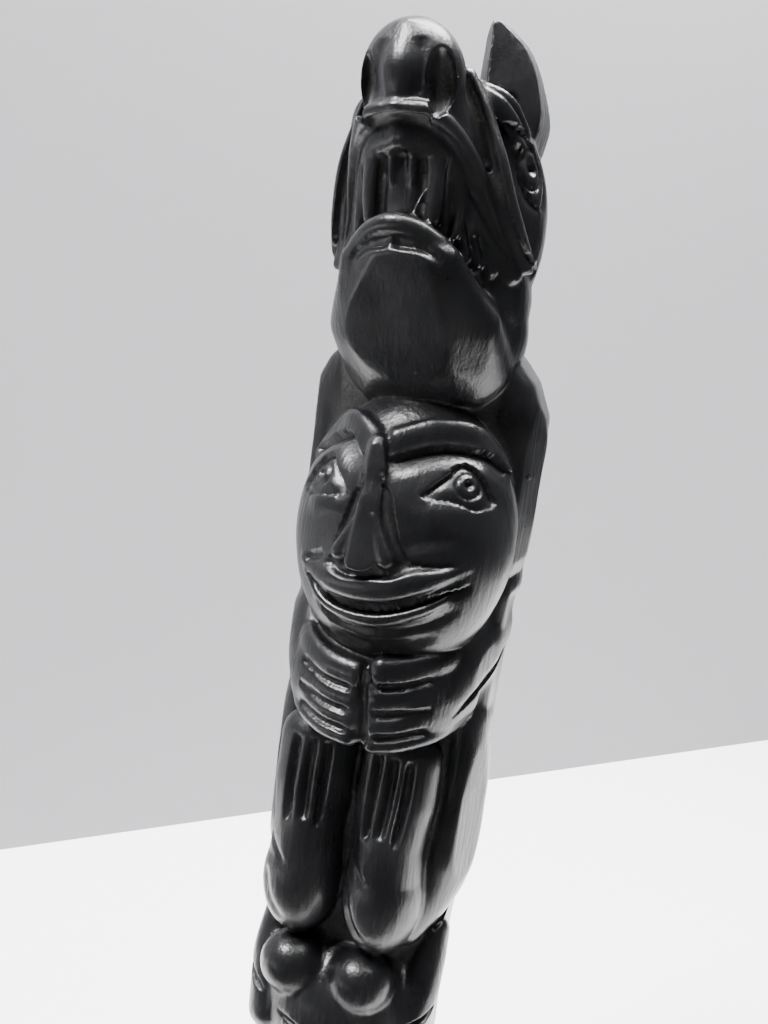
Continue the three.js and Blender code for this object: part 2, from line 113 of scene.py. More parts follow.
class Bench:
    """The carver's bench: the few ways in which every form is made, joined and cut."""

    @staticmethod
    def alone(piece: Piece) -> None:
        """Selects one piece and nothing else.

        Args:
            piece: The piece.
        """
        bpy.ops.object.select_all(action="DESELECT")
        piece.select_set(True)
        bpy.context.view_layer.objects.active = piece

    @staticmethod
    def corners(piece: Piece) -> np.ndarray:
        """Reads the places of a mesh's corners, one row each.

        Args:
            piece: The piece.

        Returns:
            Their places.
        """
        flat = np.empty(len(piece.data.vertices) * 3)
        piece.data.vertices.foreach_get("co", flat)
        return flat.reshape(-1, 3)

    @staticmethod
    def put(piece: Piece, places: np.ndarray) -> None:
        """Moves a mesh's corners to new places."""
        piece.data.vertices.foreach_set("co", places.astype(float).ravel())
        piece.data.update()

    @staticmethod
    def normals(piece: Piece) -> np.ndarray:
        """Reads the outward directions at a mesh's corners, one row each.

        Args:
            piece: The piece.

        Returns:
            The directions.
        """
        flat = np.empty(len(piece.data.vertices) * 3)
        piece.data.vertex_normals.foreach_get("vector", flat)
        return flat.reshape(-1, 3)

    @classmethod
    def edit(cls, piece: Piece) -> None:
        """Opens a piece in edit mode, with all of it selected.

        Args:
            piece: The piece.
        """
        cls.alone(piece)
        bpy.ops.object.mode_set(mode="EDIT")
        bpy.ops.mesh.select_all(action="SELECT")

    @classmethod
    def modify(cls, piece: Piece, kind: str, settings: dict[str, object]) -> None:
        """Gives a piece a modifier, and applies it.

        Args:
            piece: The piece.
            kind: The modifier's type.
            settings: The modifier's properties.
        """
        cls.alone(piece)
        modifier = piece.modifiers.new(kind.lower(), kind)
        for key, value in settings.items():
            setattr(modifier, key, value)
        bpy.ops.object.modifier_apply(modifier=modifier.name)

    @classmethod
    def egg(cls, at: Triple, radii: Triple, lean: float = 0.0, segments: int = 40) -> Piece:
        """Makes an egg form.

        Args:
            at: Its centre.
            radii: Half its size along x, y and z.
            lean: A turn about x, in degrees.
            segments: How many sides it has round z.

        Returns:
            The new piece.
        """
        bpy.ops.object.select_all(action="DESELECT")
        bpy.ops.mesh.primitive_uv_sphere_add(
            segments=segments, ring_count=segments // 2, radius=1.0, location=at,
            rotation=(math.radians(lean), 0, 0), scale=radii
        )
        piece = bpy.context.object
        bpy.ops.object.transform_apply(location=True, rotation=True, scale=True)
        return piece

    @classmethod
    def strand(
        cls, path: Sequence[Triple], thickness: Sequence[Pair], facing: Triple | None = None,
        sides: int = 20
    ) -> Piece:
        """Makes a round-ended form that follows a path, such as a limb, a finger or a lip.

        Args:
            path: The points that its middle passes through.
            thickness: Half its size away from the pole and half its size along the pole's
                surface, in a list that is spread evenly over the path.
            facing: The direction away from the pole, where it isn't straight out from the axis.
            sides: How many sides it has.

        Returns:
            The new piece.
        """
        steps, cap, fine = 28, 5, 120
        bpy.ops.object.select_all(action="DESELECT")
        bpy.ops.mesh.primitive_uv_sphere_add(segments=sides, ring_count=steps + 2 * cap)
        piece = bpy.context.object
        unit = cls.corners(piece)
        ring = np.rint(np.arccos(np.clip(unit[:, 2], -1, 1)) / math.pi * (steps + 2 * cap))
        round_xy = np.arctan2(unit[:, 1], unit[:, 0])
        share = np.clip((ring - cap) / steps, 0, 1)
        before = np.clip(cap - ring, 0, cap) / cap
        after = np.clip(ring - cap - steps, 0, cap) / cap
        past = np.sin(after * math.pi / 2) - np.sin(before * math.pi / 2)
        waist = np.cos((before + after) * math.pi / 2)
        line = through(path, fine + 1)
        tangents = np.gradient(line, axis=0)
        tangents /= np.linalg.norm(tangents, axis=1)[:, None]
        place = share * fine
        count = range(fine + 1)
        middle = np.stack([np.interp(place, count, line[:, k]) for k in range(3)], axis=1)
        tangent = np.stack([np.interp(place, count, tangents[:, k]) for k in range(3)], axis=1)
        sizes = np.array(thickness, dtype=float)
        given = np.linspace(0, 1, len(sizes)) if len(sizes) > 1 else np.array([0.0])
        proud = np.interp(share, given, sizes[:, 0])
        along = np.interp(share, given, sizes[:, 1])
        out = np.tile(facing, (len(unit), 1)) if facing else middle * np.array([1, 1, 0])
        out = out - (out * tangent).sum(axis=1)[:, None] * tangent
        out /= np.linalg.norm(out, axis=1)[:, None]
        side = np.cross(out, tangent)
        places = middle + tangent * (past * np.minimum(proud, along))[:, None]
        places += out * (np.cos(round_xy) * waist * proud)[:, None]
        places += side * (np.sin(round_xy) * waist * along)[:, None]
        cls.put(piece, places)
        cls.face_out(piece)
        return piece

    @classmethod
    def slab(cls, outline: Sequence[Pair], low: float, high: float, basis: Matrix) -> Piece:
        """Makes a flat piece of an outline by extruding it.

        Args:
            outline: Its corners, in the plane of basis's x and y.
            low: Where it starts, along basis's z.
            high: Where it ends, along basis's z.
            basis: The frame that the outline lies in.

        Returns:
            The new piece.
        """
        bpy.ops.object.select_all(action="DESELECT")
        bpy.ops.mesh.primitive_circle_add(vertices=len(outline), radius=1.0, fill_type="NGON")
        piece = bpy.context.object
        cls.put(piece, np.array([(x, y, low) for x, y in outline]))
        cls.edit(piece)
        bpy.ops.mesh.extrude_region_move(TRANSFORM_OT_translate={"value": (0, 0, high - low)})
        bpy.ops.object.mode_set(mode="OBJECT")
        piece.data.transform(basis)
        cls.face_out(piece)
        return piece

    @classmethod
    def face_out(cls, piece: Piece) -> None:
        """Turns all faces of a closed mesh outwards.

        Args:
            piece: The piece.
        """
        cls.edit(piece)
        bpy.ops.mesh.normals_make_consistent(inside=False)
        bpy.ops.object.mode_set(mode="OBJECT")

    @classmethod
    def mirrored(cls, piece: Piece) -> Piece:
        """Makes the same piece on the pole's other side.

        Args:
            piece: The piece.

        Returns:
            Its mirror image.
        """
        cls.alone(piece)
        bpy.ops.object.duplicate()
        twin = bpy.context.object
        places = cls.corners(twin)
        places[:, 0] *= -1
        cls.put(twin, places)
        cls.face_out(twin)
        return twin

    @classmethod
    def pair(cls, pieces: Iterable[Piece]) -> list[Piece]:
        """Gives the pieces and their mirror images."""
        own = list(pieces)
        return own + [cls.mirrored(piece) for piece in own]

    @classmethod
    def joined(cls, name: str, pieces: Sequence[Piece]) -> Piece:
        """Joins pieces into one object under a name.

        Args:
            name: The name.
            pieces: The pieces, of which the first keeps its place in the scene.

        Returns:
            The joined piece.
        """
        cls.alone(pieces[0])
        for piece in pieces:
            piece.select_set(True)
        if len(pieces) > 1:
            bpy.ops.object.join()
        whole = bpy.context.object
        whole.name = name
        return whole

    @classmethod
    def fused(cls, piece: Piece, grain: float, rubs: int) -> Piece:
        """Makes one skin over all that a mesh holds, and rubs it smooth.

        Args:
            piece: The mesh of overlapping closed forms.
            grain: The size of the new mesh's faces, in millimetres.
            rubs: How many times it is smoothed.

        Returns:
            The same piece.
        """
        cls.alone(piece)
        piece.data.remesh_voxel_size = grain
        piece.data.remesh_voxel_adaptivity = 0.0
        piece.data.use_remesh_fix_poles = False
        bpy.ops.object.voxel_remesh()
        if rubs:
            cls.rub(piece, 0.5, rubs)
        return piece

    @classmethod
    def rub(cls, piece: Piece, factor: float, times: int) -> None:
        """Rubs a surface smooth.

        Args:
            piece: The piece.
            factor: How much each rub evens it.
            times: How many times it is rubbed.
        """
        cls.modify(piece, "SMOOTH", {"factor": factor, "iterations": times})

    @classmethod
    def cut(cls, piece: Piece, cutters: Sequence[Piece]) -> None:
        """Takes the cutters' space out of a piece, and puts the cutters away.

        Args:
            piece: The piece.
            cutters: The closed forms that it is cut with.
        """
        for cutter in cutters:
            settings = {"operation": "DIFFERENCE", "solver": "MANIFOLD", "object": cutter}
            cls.modify(piece, "BOOLEAN", settings)
            bpy.data.objects.remove(cutter)

    @classmethod
    def pare(cls, piece: Piece, point: Triple, outward: Triple) -> None:
        """Takes off all that lies beyond a plane, as one flat cut of the knife.

        Args:
            piece: The piece.
            point: A point of the plane.
            outward: The direction that the plane faces.
        """
        cls.edit(piece)
        bpy.ops.mesh.bisect(
            plane_co=point, plane_no=outward, use_fill=True, clear_outer=True, clear_inner=False
        )
        bpy.ops.object.mode_set(mode="OBJECT")


class Cut(Enum):
    """The ways in which the knife follows a line on the stone."""

    GROOVE = "a V-shaped line"
    STEP = "stone taken off on the line's left, down from a crisp edge"
    HOLLOW = "a shallow rounded trough"


@dataclass(frozen=True)
class Stroke:
    """A line that is carved on the stone's surface.

    Attributes:
        points: Points near the surface that the line passes through.
        width: How far the cut reaches from the line.
        depth: Its depth.
        cut: What the knife does there.
        fade: How much of the line's length its depth fades over at each end.
    """

    points: tuple[Triple, ...]
    width: float
    depth: float
    cut: Cut = Cut.GROOVE
    fade: float = 0.18

    def mirrored(self) -> "Stroke":
        """Gives the same stroke on the other side, with the same side of it cut away."""
        return replace(self, points=tuple((-x, y, z) for x, y, z in reversed(self.points)))

    def moved(self, move: Matrix) -> "Stroke":
        """Gives the stroke after a move."""
        return replace(self, points=tuple(tuple(move @ Vector(point)) for point in self.points))

    @classmethod
    def ring(cls, at: Triple, right: Triple, up: Triple, width: float, depth: float) -> "Stroke":
        """Makes a round groove.

        Args:
            at: Its centre.
            right: Half its size along one direction, as a vector.
            up: The same, along the other direction.
            width: The groove's reach on each side.
            depth: The groove's depth.

        Returns:
            The stroke.
        """
        corners = 16
        turns = [2 * math.pi * i / corners for i in range(corners + 1)]
        points = tuple(
            tuple(a + math.cos(t) * r + math.sin(t) * u for a, r, u in zip(at, right, up))
            for t in turns
        )
        return cls(points, width, depth, fade=0.0)


def both(strokes: Sequence[Stroke]) -> list[Stroke]:
    """Gives strokes and their mirror images."""
    return [*strokes, *(stroke.mirrored() for stroke in strokes)]


class Skin:
    """The stone's whole surface, on which the fine strokes are cut.

    Attributes:
        piece: The mesh object.
        places: Its corners, one row each.
        normals: The outward directions there.
        pace: The spacing of a line's points, in millimetres.
        evened: How many points on each side of a point even it out.
        margin: How far past a stroke's reach its corners are looked for, in millimetres.
        bow: The power that bows the slope beside a step.
        swell: The power with which a stroke deepens from its ends.
    """

    pace = 0.12
    evened = 6
    margin = 0.3
    bow = 1.6
    swell = 0.7

    def __init__(self, piece: Piece) -> None:
        """Reads the surface of a mesh.

        Args:
            piece: The piece.
        """
        self.piece = piece
        self.places = Bench.corners(piece)
        self.normals = Bench.normals(piece)
        faces = [tuple(face.vertices) for face in piece.data.polygons]
        self.tree = BVHTree.FromPolygons(self.places.tolist(), faces)

    def carve(self, strokes: Sequence[Stroke]) -> None:
        """Cuts strokes into the surface."""
        for stroke in strokes:
            self.cut(stroke)

    def cut(self, stroke: Stroke) -> None:
        """Cuts one stroke.

        Args:
            stroke: The stroke.
        """
        rough = through(stroke.points, 60)
        length = np.linalg.norm(np.diff(rough, axis=0), axis=1).sum()
        count = max(int(length / self.pace), 8)
        found = [self.tree.find_nearest(Vector(p))[:2] for p in through(stroke.points, count)]
        line = np.array([tuple(place) for place, _ in found])
        out = np.array([tuple(normal) for _, normal in found])
        half = min(self.evened, (count - 1) // 2)
        kernel = np.ones(2 * half + 1) / (2 * half + 1)
        ends = "edge" if stroke.fade > 0 else "wrap"
        for k in range(3):
            line[:, k] = np.convolve(np.pad(line[:, k], half, ends), kernel, "valid")
            out[:, k] = np.convolve(np.pad(out[:, k], half, ends), kernel, "valid")
        out /= np.linalg.norm(out, axis=1)[:, None]
        ahead = np.gradient(line, axis=0)
        ahead /= np.linalg.norm(ahead, axis=1)[:, None] + 1e-9
        left = np.cross(out, ahead)
        reach = stroke.width + self.margin
        inside = np.all(self.places > line.min(axis=0) - reach, axis=1)
        inside &= np.all(self.places < line.max(axis=0) + reach, axis=1)
        near = np.flatnonzero(inside)
        if not len(near):
            return
        gaps = np.linalg.norm(self.places[near][:, None] - line[None], axis=2)
        close = gaps.argmin(axis=1)
        gap = gaps[np.arange(len(near)), close]
        kept = gap < stroke.width
        kept &= (self.normals[near] * out[close]).sum(axis=1) > 0.1
        near, close, gap = near[kept], close[kept], gap[kept]
        share = gap / stroke.width
        if stroke.cut is Cut.GROOVE:
            amount = 1 - share
        elif stroke.cut is Cut.STEP:
            beside = ((self.places[near] - line[close]) * left[close]).sum(axis=1)
            amount = np.where(beside > 0, (1 - share) ** self.bow, 0.0)
        else:
            amount = 0.5 + 0.5 * np.cos(math.pi * share)
        along = close / (len(line) - 1)
        if stroke.fade > 0:
            amount = amount * np.clip(np.minimum(along, 1 - along) / stroke.fade, 0, 1) ** self.swell
        self.places[near] -= self.normals[near] * (stroke.depth * amount)[:, None]

    def waver(self, amount: float) -> None:
        """Gives the surface the faint unevenness of work by hand.

        Args:
            amount: How far it departs from true, in millimetres.
        """
        seed, waves = 11, 14
        random = np.random.default_rng(seed)
        total = np.zeros(len(self.places))
        for _ in range(waves):
            way = random.normal(size=3)
            wave = 2 * math.pi / random.uniform(4.0, 11.0) * way / np.linalg.norm(way)
            total += np.sin(self.places @ wave + random.uniform(0, 2 * math.pi))
        self.places += self.normals * (amount * total / math.sqrt(waves))[:, None]

    def finish(self) -> None:
        """Writes the carved surface back to the mesh."""
        Bench.put(self.piece, self.places)


@dataclass(frozen=True)
class Form:
    """An egg form that features are set on.

    Attributes:
        at: Its centre.
        radii: Half its size along x, y and z.
        lean: Its turn about x, in degrees.
    """

    at: Triple
    radii: Triple
    lean: float = 0.0

    def block(self, segments: int = 48) -> Piece:
        """Makes the form itself."""
        return Bench.egg(self.at, self.radii, self.lean, segments)

    def on(self, x: float, z: float, proud: float = 0.0) -> Triple:
        """Gives a point on the form's front.

        Args:
            x: The point's x, before the form's lean.
            z: The point's z, before the form's lean.
            proud: How far the point stands off the form.

        Returns:
            The point.
        """
        across = (x - self.at[0]) / self.radii[0]
        high = (z - self.at[2]) / self.radii[2]
        deep = -math.sqrt(max(1 - across * across - high * high, 0.0))
        out = vec(across / self.radii[0], deep / self.radii[1], high / self.radii[2]).normalized()
        point = vec(x - self.at[0], deep * self.radii[1], z - self.at[2]) + out * proud
        lean = Euler((math.radians(self.lean), 0, 0)).to_matrix().to_4x4()
        return tuple((Matrix.Translation(self.at) @ lean @ Matrix.Translation(point)).translation)


@dataclass
class Column:
    """The column that all the figures stand out from, flat behind and round in front.

    Attributes:
        stations: Height, half width and depth in front, from the base up.
        squareness: The power that squares the back off and leaves its corners round.
        rings: How many rings of faces it has.
    """

    stations: tuple[Triple, ...] = (
        (-0.5, 15.5, 11), (22, 13.6, 9), (52, 13.6, 8), (84, 15.6, 7), (100, 16, 5), (138, 17.8, 4),
        (143.5, 15.4, 4), (148, 11, 4),
    )
    squareness: float = 0.42
    rings: int = 60

    def build(self) -> Piece:
        """Makes the column from a cylinder."""
        bpy.ops.object.select_all(action="DESELECT")
        bpy.ops.mesh.primitive_cylinder_add(vertices=64, radius=1.0, depth=2.0)
        piece = bpy.context.object
        bpy.ops.object.mode_set(mode="EDIT")
        for i in range(1, self.rings):
            bpy.ops.mesh.select_all(action="SELECT")
            bpy.ops.mesh.bisect(plane_co=(0, 0, 2 * i / self.rings - 1), plane_no=(0, 0, 1))
        bpy.ops.object.mode_set(mode="OBJECT")
        unit = Bench.corners(piece)
        table = np.array(self.stations)
        z = table[0, 0] + (unit[:, 2] + 1) / 2 * (table[-1, 0] - table[0, 0])
        half = np.interp(z, table[:, 0], table[:, 1])
        front = np.interp(z, table[:, 0], table[:, 2])
        behind = unit[:, 1] > 0
        x = np.where(behind, np.sign(unit[:, 0]) * np.abs(unit[:, 0]) ** self.squareness, unit[:, 0])
        y = np.where(behind, BACK * np.abs(unit[:, 1]) ** self.squareness, front * unit[:, 1])
        Bench.put(piece, np.stack([half * x, y, z], axis=1))
        return piece


@dataclass
class BearHead:
    """The bear's head, thrown back with its mouth open, and carved a little off square.

    Attributes:
        turn: Its turn about the pole's axis, in degrees.
        tilt: Its lean to the bear's right, in degrees.
        nape: The point that it turns and leans about.
        skull: The form that the eyes are cut in.
        facets: The flat cuts under the jaw, each a point on it and the direction it faces.
    """

    turn: float = -6.0
    tilt: float = -5.0
    nape: Triple = (0, 2, 146)
    skull: Form = Form((0, 2.4, 164.5), (15.4, 10, 20))
    facets: tuple[tuple[Triple, Triple], ...] = (
        ((0, -16.6, 158.4), (0, -0.92, -0.39)), ((5.4, -16.4, 158), (0.62, -0.75, -0.2)),
        ((7.3, -12.2, 148), (0.62, -0.72, -0.42)), ((-2.8, -16.4, 158), (-0.4, -0.9, -0.09)),
        ((-10, -12.2, 148), (-0.6, -0.7, -0.62)),
    )

    def pose(self) -> Matrix:
        """Gives the move from the head carved square to the head as it is."""
        turn = Matrix.Rotation(math.radians(self.turn), 4, "Z")
        tilt = Matrix.Rotation(math.radians(self.tilt), 4, "Y")
        return Matrix.Translation(self.nape) @ tilt @ turn @ Matrix.Translation(-Vector(self.nape))

    def masses(self) -> Piece:
        """Makes the lower jaw and neck with their flat cuts, and the skull and muzzle."""
        ahead = (0, -1, 0)
        muzzle = Bench.strand(
            [(0, 0, 155), (0, -4.6, 168), (0, -9.8, 181.4)], [(8, 12.4), (7.5, 10.0), (6.6, 6.8)], ahead, 40
        )
        jaw = Bench.strand([
            (0, -0.5, 144), (0, -7.6, 150.5), (0, -12.8, 158),
        ], [(8.5, 13), (7.2, 12.6), (4.4, 8.8)], ahead, 40)
        for point, outward in self.facets:
            Bench.pare(jaw, point, outward)
        neck = Bench.egg((0.4, 1.4, 149), (13.6, 9.0, 12.5))
        jowls = Bench.pair([Bench.egg((9.6, 0.8, 153.5), (4.6, 6.4, 7.5))])
        chin = Bench.fused(Bench.joined("jaw", [neck, jaw, *jowls]), 0.4, 8)
        upper = Bench.fused(Bench.joined("skull", [self.skull.block(), muzzle]), 0.5, 8)
        return Bench.fused(Bench.joined("bear_head", [chin, upper]), 0.3, 1)

    def mouth(self) -> Piece:
        """Makes the wedge of space between the jaws."""
        outline = [(-1.6, 155.2), (-13.0, 162.4), (-26, 163.5), (-26, 177.5), (-15.5, 176.2), (-8.5, 171.5)]
        crosswise = Matrix(((0, 0, 1, 0), (1, 0, 0, 0), (0, 1, 0, 0), (0, 0, 0, 1)))
        return Bench.slab(outline, -24, 24, crosswise)

    def lips(self) -> list[Piece]:
        """Makes the edge of the upper jaw, the smooth band inside it, and the lower lip."""
        upper = Bench.strand([
            (-0.4, -15.9, 177.2), (4.2, -15.2, 176.6), (6.8, -12.2, 174.2), (9.0, -8.8, 169.4),
            (10.8, -5.8, 163.8), (13.0, -2.8, 156.6),
        ], [(1.4, 1.2), (1.2, 1.3), (1.0, 1.4), (0.9, 1.4)])
        band = Bench.strand([
            (-0.4, -14.2, 174.2), (4.2, -12.8, 173.2), (6.4, -10.4, 170.0), (8.2, -7.6, 165.6),
            (10.2, -5.0, 161.0), (12.4, -3.0, 156.6),
        ], [(1.4, 2.0), (1.3, 1.9), (1.2, 1.7)])
        lower = Bench.strand([
            (-5.8, -13.6, 160.4), (-3.2, -15.0, 162.0), (0, -15.5, 162.7), (3.2, -15.0, 162.0),
            (5.8, -13.6, 160.4),
        ], [(1.3, 1.2), (1.7, 1.6), (1.3, 1.2)], (0, -1, 0))
        return [*Bench.pair([upper, band]), lower]

    def teeth(self) -> list[Piece]:
        """Makes the broad teeth behind the lips, which are left joined to the palate."""
        own = [
            Bench.strand([
                (4.3, -11.8, 173), (4.6, -12.6, 168), (4.4, -12.8, 163.4),
            ], [(1.5, 1.7), (1.2, 1.0)]),
            Bench.strand([(1.5, -12.6, 173), (1.5, -12.8, 168.2)], [(1.2, 1.1), (0.9, 0.7)]),
            Bench.strand([
                (6.9, -9.6, 169.4), (7.2, -10.0, 165), (6.9, -10.8, 161.6),
            ], [(1.2, 1.1), (1.0, 0.7)]),
        ]
        for i in range(4):
            across, deep, low = 7.4 + 1.2 * i, -8.8 + 1.7 * i, 159.0 - 1.0 * i
            own.append(Bench.strand([
                (across, deep, low), (across - 0.4, deep - 0.4, low + 4.0 - 0.6 * i),
            ], [(1.4, 0.95), (0.9, 0.6)]))
        fang = Bench.strand([
            (2.0, -14.8, 162.4), (2.9, -14.4, 165.2), (3.6, -13.8, 167.2),
        ], [(0.6, 0.6), (0.25, 0.25)])
        return [*Bench.pair(own), fang]

    def nose(self) -> list[Piece]:
        """Makes the dome of the nose and the bar between its nostrils."""
        dome = Bench.egg((0, -10.6, 181.2), (7.3, 5.6, 8.2), 8)
        bar = Bench.strand([
            (0, -14.6, 178.2), (0, -15.2, 182.2), (0, -13.2, 187.0),
        ], [(1.8, 2.4), (1.7, 2.9)], (0, -1, 0))
        return [dome, bar]

    def ear(self) -> Piece:
        """Makes an upright leaf-shaped ear with a ridge down its front."""
        outline = [(2.8, 172), (3.4, 182), (4.6, 189.4)]
        tip = through([(4.6, 189.4, 0), (5.5, 191.3, 0), (7.0, 191.5, 0)], 6)
        rim = through([
            (7.0, 191.5, 0), (10.6, 187.8, 0), (12.8, 182, 0), (13.2, 177.6, 0), (11, 170, 0),
        ], 18)
        outline += [(x, z) for x, z, _ in tip[1:]] + [(x, z) for x, z, _ in rim[1:]]
        upright = Matrix(((1, 0, 0, 0), (0, 0, 1, 0), (0, 1, 0, 0), (0, 0, 0, 1)))
        ear = Bench.slab(outline, -1.0, 9.4, upright)
        Bench.pare(ear, (6.2, 1.2, 184), (-0.81, -0.58, 0.1))
        Bench.pare(ear, (6.4, 1.2, 184), (0.46, -0.87, 0.16))
        Bench.pare(ear, (9.0, 9.4, 186), (0.6, 0.74, 0.3))
        return ear

    def build(self) -> Piece:
        """Makes the whole head and sets it in its pose."""
        head = self.masses()
        Bench.cut(head, [self.mouth()])
        palate = Bench.egg((0, -5.0, 167.0), (9.8, 8.4, 11.5))
        tongue = Bench.strand([
            (0, -4, 157), (0, -9.5, 161.4), (0, -12.0, 164.4),
        ], [(1.8, 4.6), (1.8, 4.2), (1.2, 2.6)], (0, -1, 0))
        brow = Bench.strand([
            (7.2, -5.2, 180.6), (10.0, -3.8, 179.0), (12.0, -1.4, 175.8), (13.2, 2.0, 171.6),
        ], [(1.5, 1.9), (1.5, 2.4), (1.3, 2.1), (1.0, 1.2)])
        cheek = Bench.strand([
            (6.4, -7.0, 182.5), (8.6, -6.8, 178.0), (11.0, -6.8, 171.7), (12.8, -5.2, 164.6),
            (14.4, -1.8, 158.0),
        ], [(1.2, 1.0), (1.4, 1.3), (1.2, 1.2)])
        extras = [palate, tongue, *self.lips(), *self.teeth(), *self.nose()]
        head = Bench.joined("bear_head", [head, *extras, *Bench.pair([brow, cheek])])
        Bench.fused(head, 0.36, 9)
        nostrils = Bench.pair([Bench.egg((5.6, -15.6, 180.8), (1.9, 4.2, 4.8), 16)])
        Bench.cut(head, nostrils)
        ears = Bench.pair([self.ear()])
        Bench.cut(ears[0], [Bench.egg((9.6, 1.9, 178.8), (1.3, 1.5, 3.2))])
        Bench.cut(ears[1], [Bench.egg((-9.6, 1.9, 178.8), (1.3, 1.5, 3.2))])
        head = Bench.joined("bear_head", [head, *ears])
        head.data.transform(self.pose())
        return head

    def strokes(self) -> list[Stroke]:
        """Gives the knife's lines on the head."""
        groove, step, hollow = Cut.GROOVE, Cut.STEP, Cut.HOLLOW
        at = (13.9, -0.5, 171.0)
        own = [
            # The crease from the nose to the cheek, with the muzzle cut back in front of it.
            Stroke((
                (14.8, -1.2, 157.4), (13.0, -6.0, 164.6), (11.2, -8.0, 171.7), (8.8, -7.9, 178.2),
                (6.7, -8.2, 182.6),
            ), 2.6, 1.0, step, 0.1),
            Stroke(((14.8, -1.2, 157.4), (15.6, 0.4, 157.0), (16.2, 2.6, 157.6)), 1.2, 0.7),
            # The edge of the upper lip, and the groove between it and the band inside.
            Stroke(((-6.2, -15.0, 176.2), (0, -16.2, 176.0), (4.6, -15.0, 175.4)), 1.1, 0.7, groove, 0.1),
            Stroke((
                (4.6, -15.0, 175.4), (7.0, -11.6, 172.2), (9.2, -8.2, 167.0), (11.2, -5.4, 161.4),
            ), 1.0, 0.5),
            # Beside the bar of the nose, and under the rolled lower lip.
            Stroke(((2.9, -15.2, 178.6), (3.2, -15.6, 182), (2.6, -14.9, 186)), 1.4, 0.5),
            Stroke(((-0.2, -16.8, 160.4), (4.6, -15.7, 159.4), (6.6, -14.4, 157.8)), 1.1, 0.8),
            # The brow's two edges.
            Stroke((
                (7.6, -5.4, 181.8), (10.4, -4.2, 180.6), (12.4, -2.6, 178.2), (13.6, 0.4, 174.4),
            ), 1.1, 0.8),
            Stroke((
                (14.0, 0.8, 173.8), (12.6, -2.6, 176.2), (10.2, -4.6, 176.9), (8.8, -5.0, 176.2),
            ), 2.4, 1.0, step),
            # The eye: an upright almond, its iris and its pupil.
            Stroke(((14.9, 0.4, 165.4), (13.1, -2.2, 169.4), (12.5, -1.9, 174.6)), 2.0, 0.8, step, 0.25),
            Stroke((
                (12.5, -1.6, 174.8), (14.0, 0.8, 174.8), (15.2, 2.2, 171.4), (15.0, 0.6, 165.4),
            ), 1.6, 0.6, step, 0.2),
            Stroke.ring(at, (1.1, 1.8, 0), (0, 0, 2.7), 0.6, 0.45),
            Stroke((at, (14.05, -0.4, 171.1)), 1.1, 0.7, hollow, 0),
            # Cuts between the teeth.
            Stroke(((5.9, -11.4, 172.0), (6.0, -11.6, 162.4)), 0.8, 0.5),
            Stroke(((2.9, -12.6, 172.4), (3.0, -12.8, 164)), 0.9, 0.6),
        ]
        # Short cuts across the band inside the lip.
        for i in range(7):
            top = (7.6 + 0.62 * i, -10.4 + 0.7 * i, 168.6 - 1.15 * i)
            low = (9.4 + 0.5 * i, -8.2 + 0.7 * i, 165.6 - 1.15 * i)
            own.append(Stroke((top, low), 0.6, 0.3))
        pose = self.pose()
        return [stroke.moved(pose) for stroke in both(own)]


@dataclass(frozen=True)
class Hand:
    """A hand of the bear, laid flat with its fingers across the pole.

    Attributes:
        side: The side that it comes from.
        heights: The height of each finger's middle, from the top down.
        meeting: The x where the fingertips end.
        thickness: Half of each finger's height.
    """

    side: int
    heights: tuple[float, ...]
    meeting: float
    thickness: tuple[float, ...] = (2.3, 2.2, 1.9, 1.5)

    def finger(self, height: float) -> list[Triple]:
        """Gives the middle line of a finger, from the wrist to the fingertip.

        Args:
            height: The finger's height.

        Returns:
            Points of the line.
        """
        return [
            (self.side * 12.0, -5.4, height + 2.4), (self.side * 9.6, -10.6, height + 1.2),
            (self.side * 5.2, -13.9, height), (self.meeting + self.side * 1.6, -15.0, height - 0.3),
        ]

    def build(self) -> list[Piece]:
        """Makes the fingers and the palm."""
        made = [
            Bench.strand(self.finger(z), [(1.6, thick), (1.8, thick)])
            for z, thick in zip(self.heights, self.thickness)
        ]
        palm = [(self.side * 11.6, -5.0, 98.6), (self.side * 8.6, -10.0, 97.2), (self.meeting, -13.3, 95.8)]
        return [*made, Bench.strand(palm, [(3.4, 6.4), (3.4, 6.6), (3.2, 6.4)])]

    def strokes(self) -> list[Stroke]:
        """Gives the grooves between the fingers."""
        cuts = []
        thick = self.thickness
        for i in range(len(self.heights) - 1):
            high, low = self.heights[i] - thick[i], self.heights[i + 1] + thick[i + 1]
            path = self.finger((high + low) / 2)[1:]
            cuts.append(Stroke(tuple((x, y - 1.2, z) for x, y, z in path), 0.8, 0.55, Cut.GROOVE, 0.1))
        return cuts


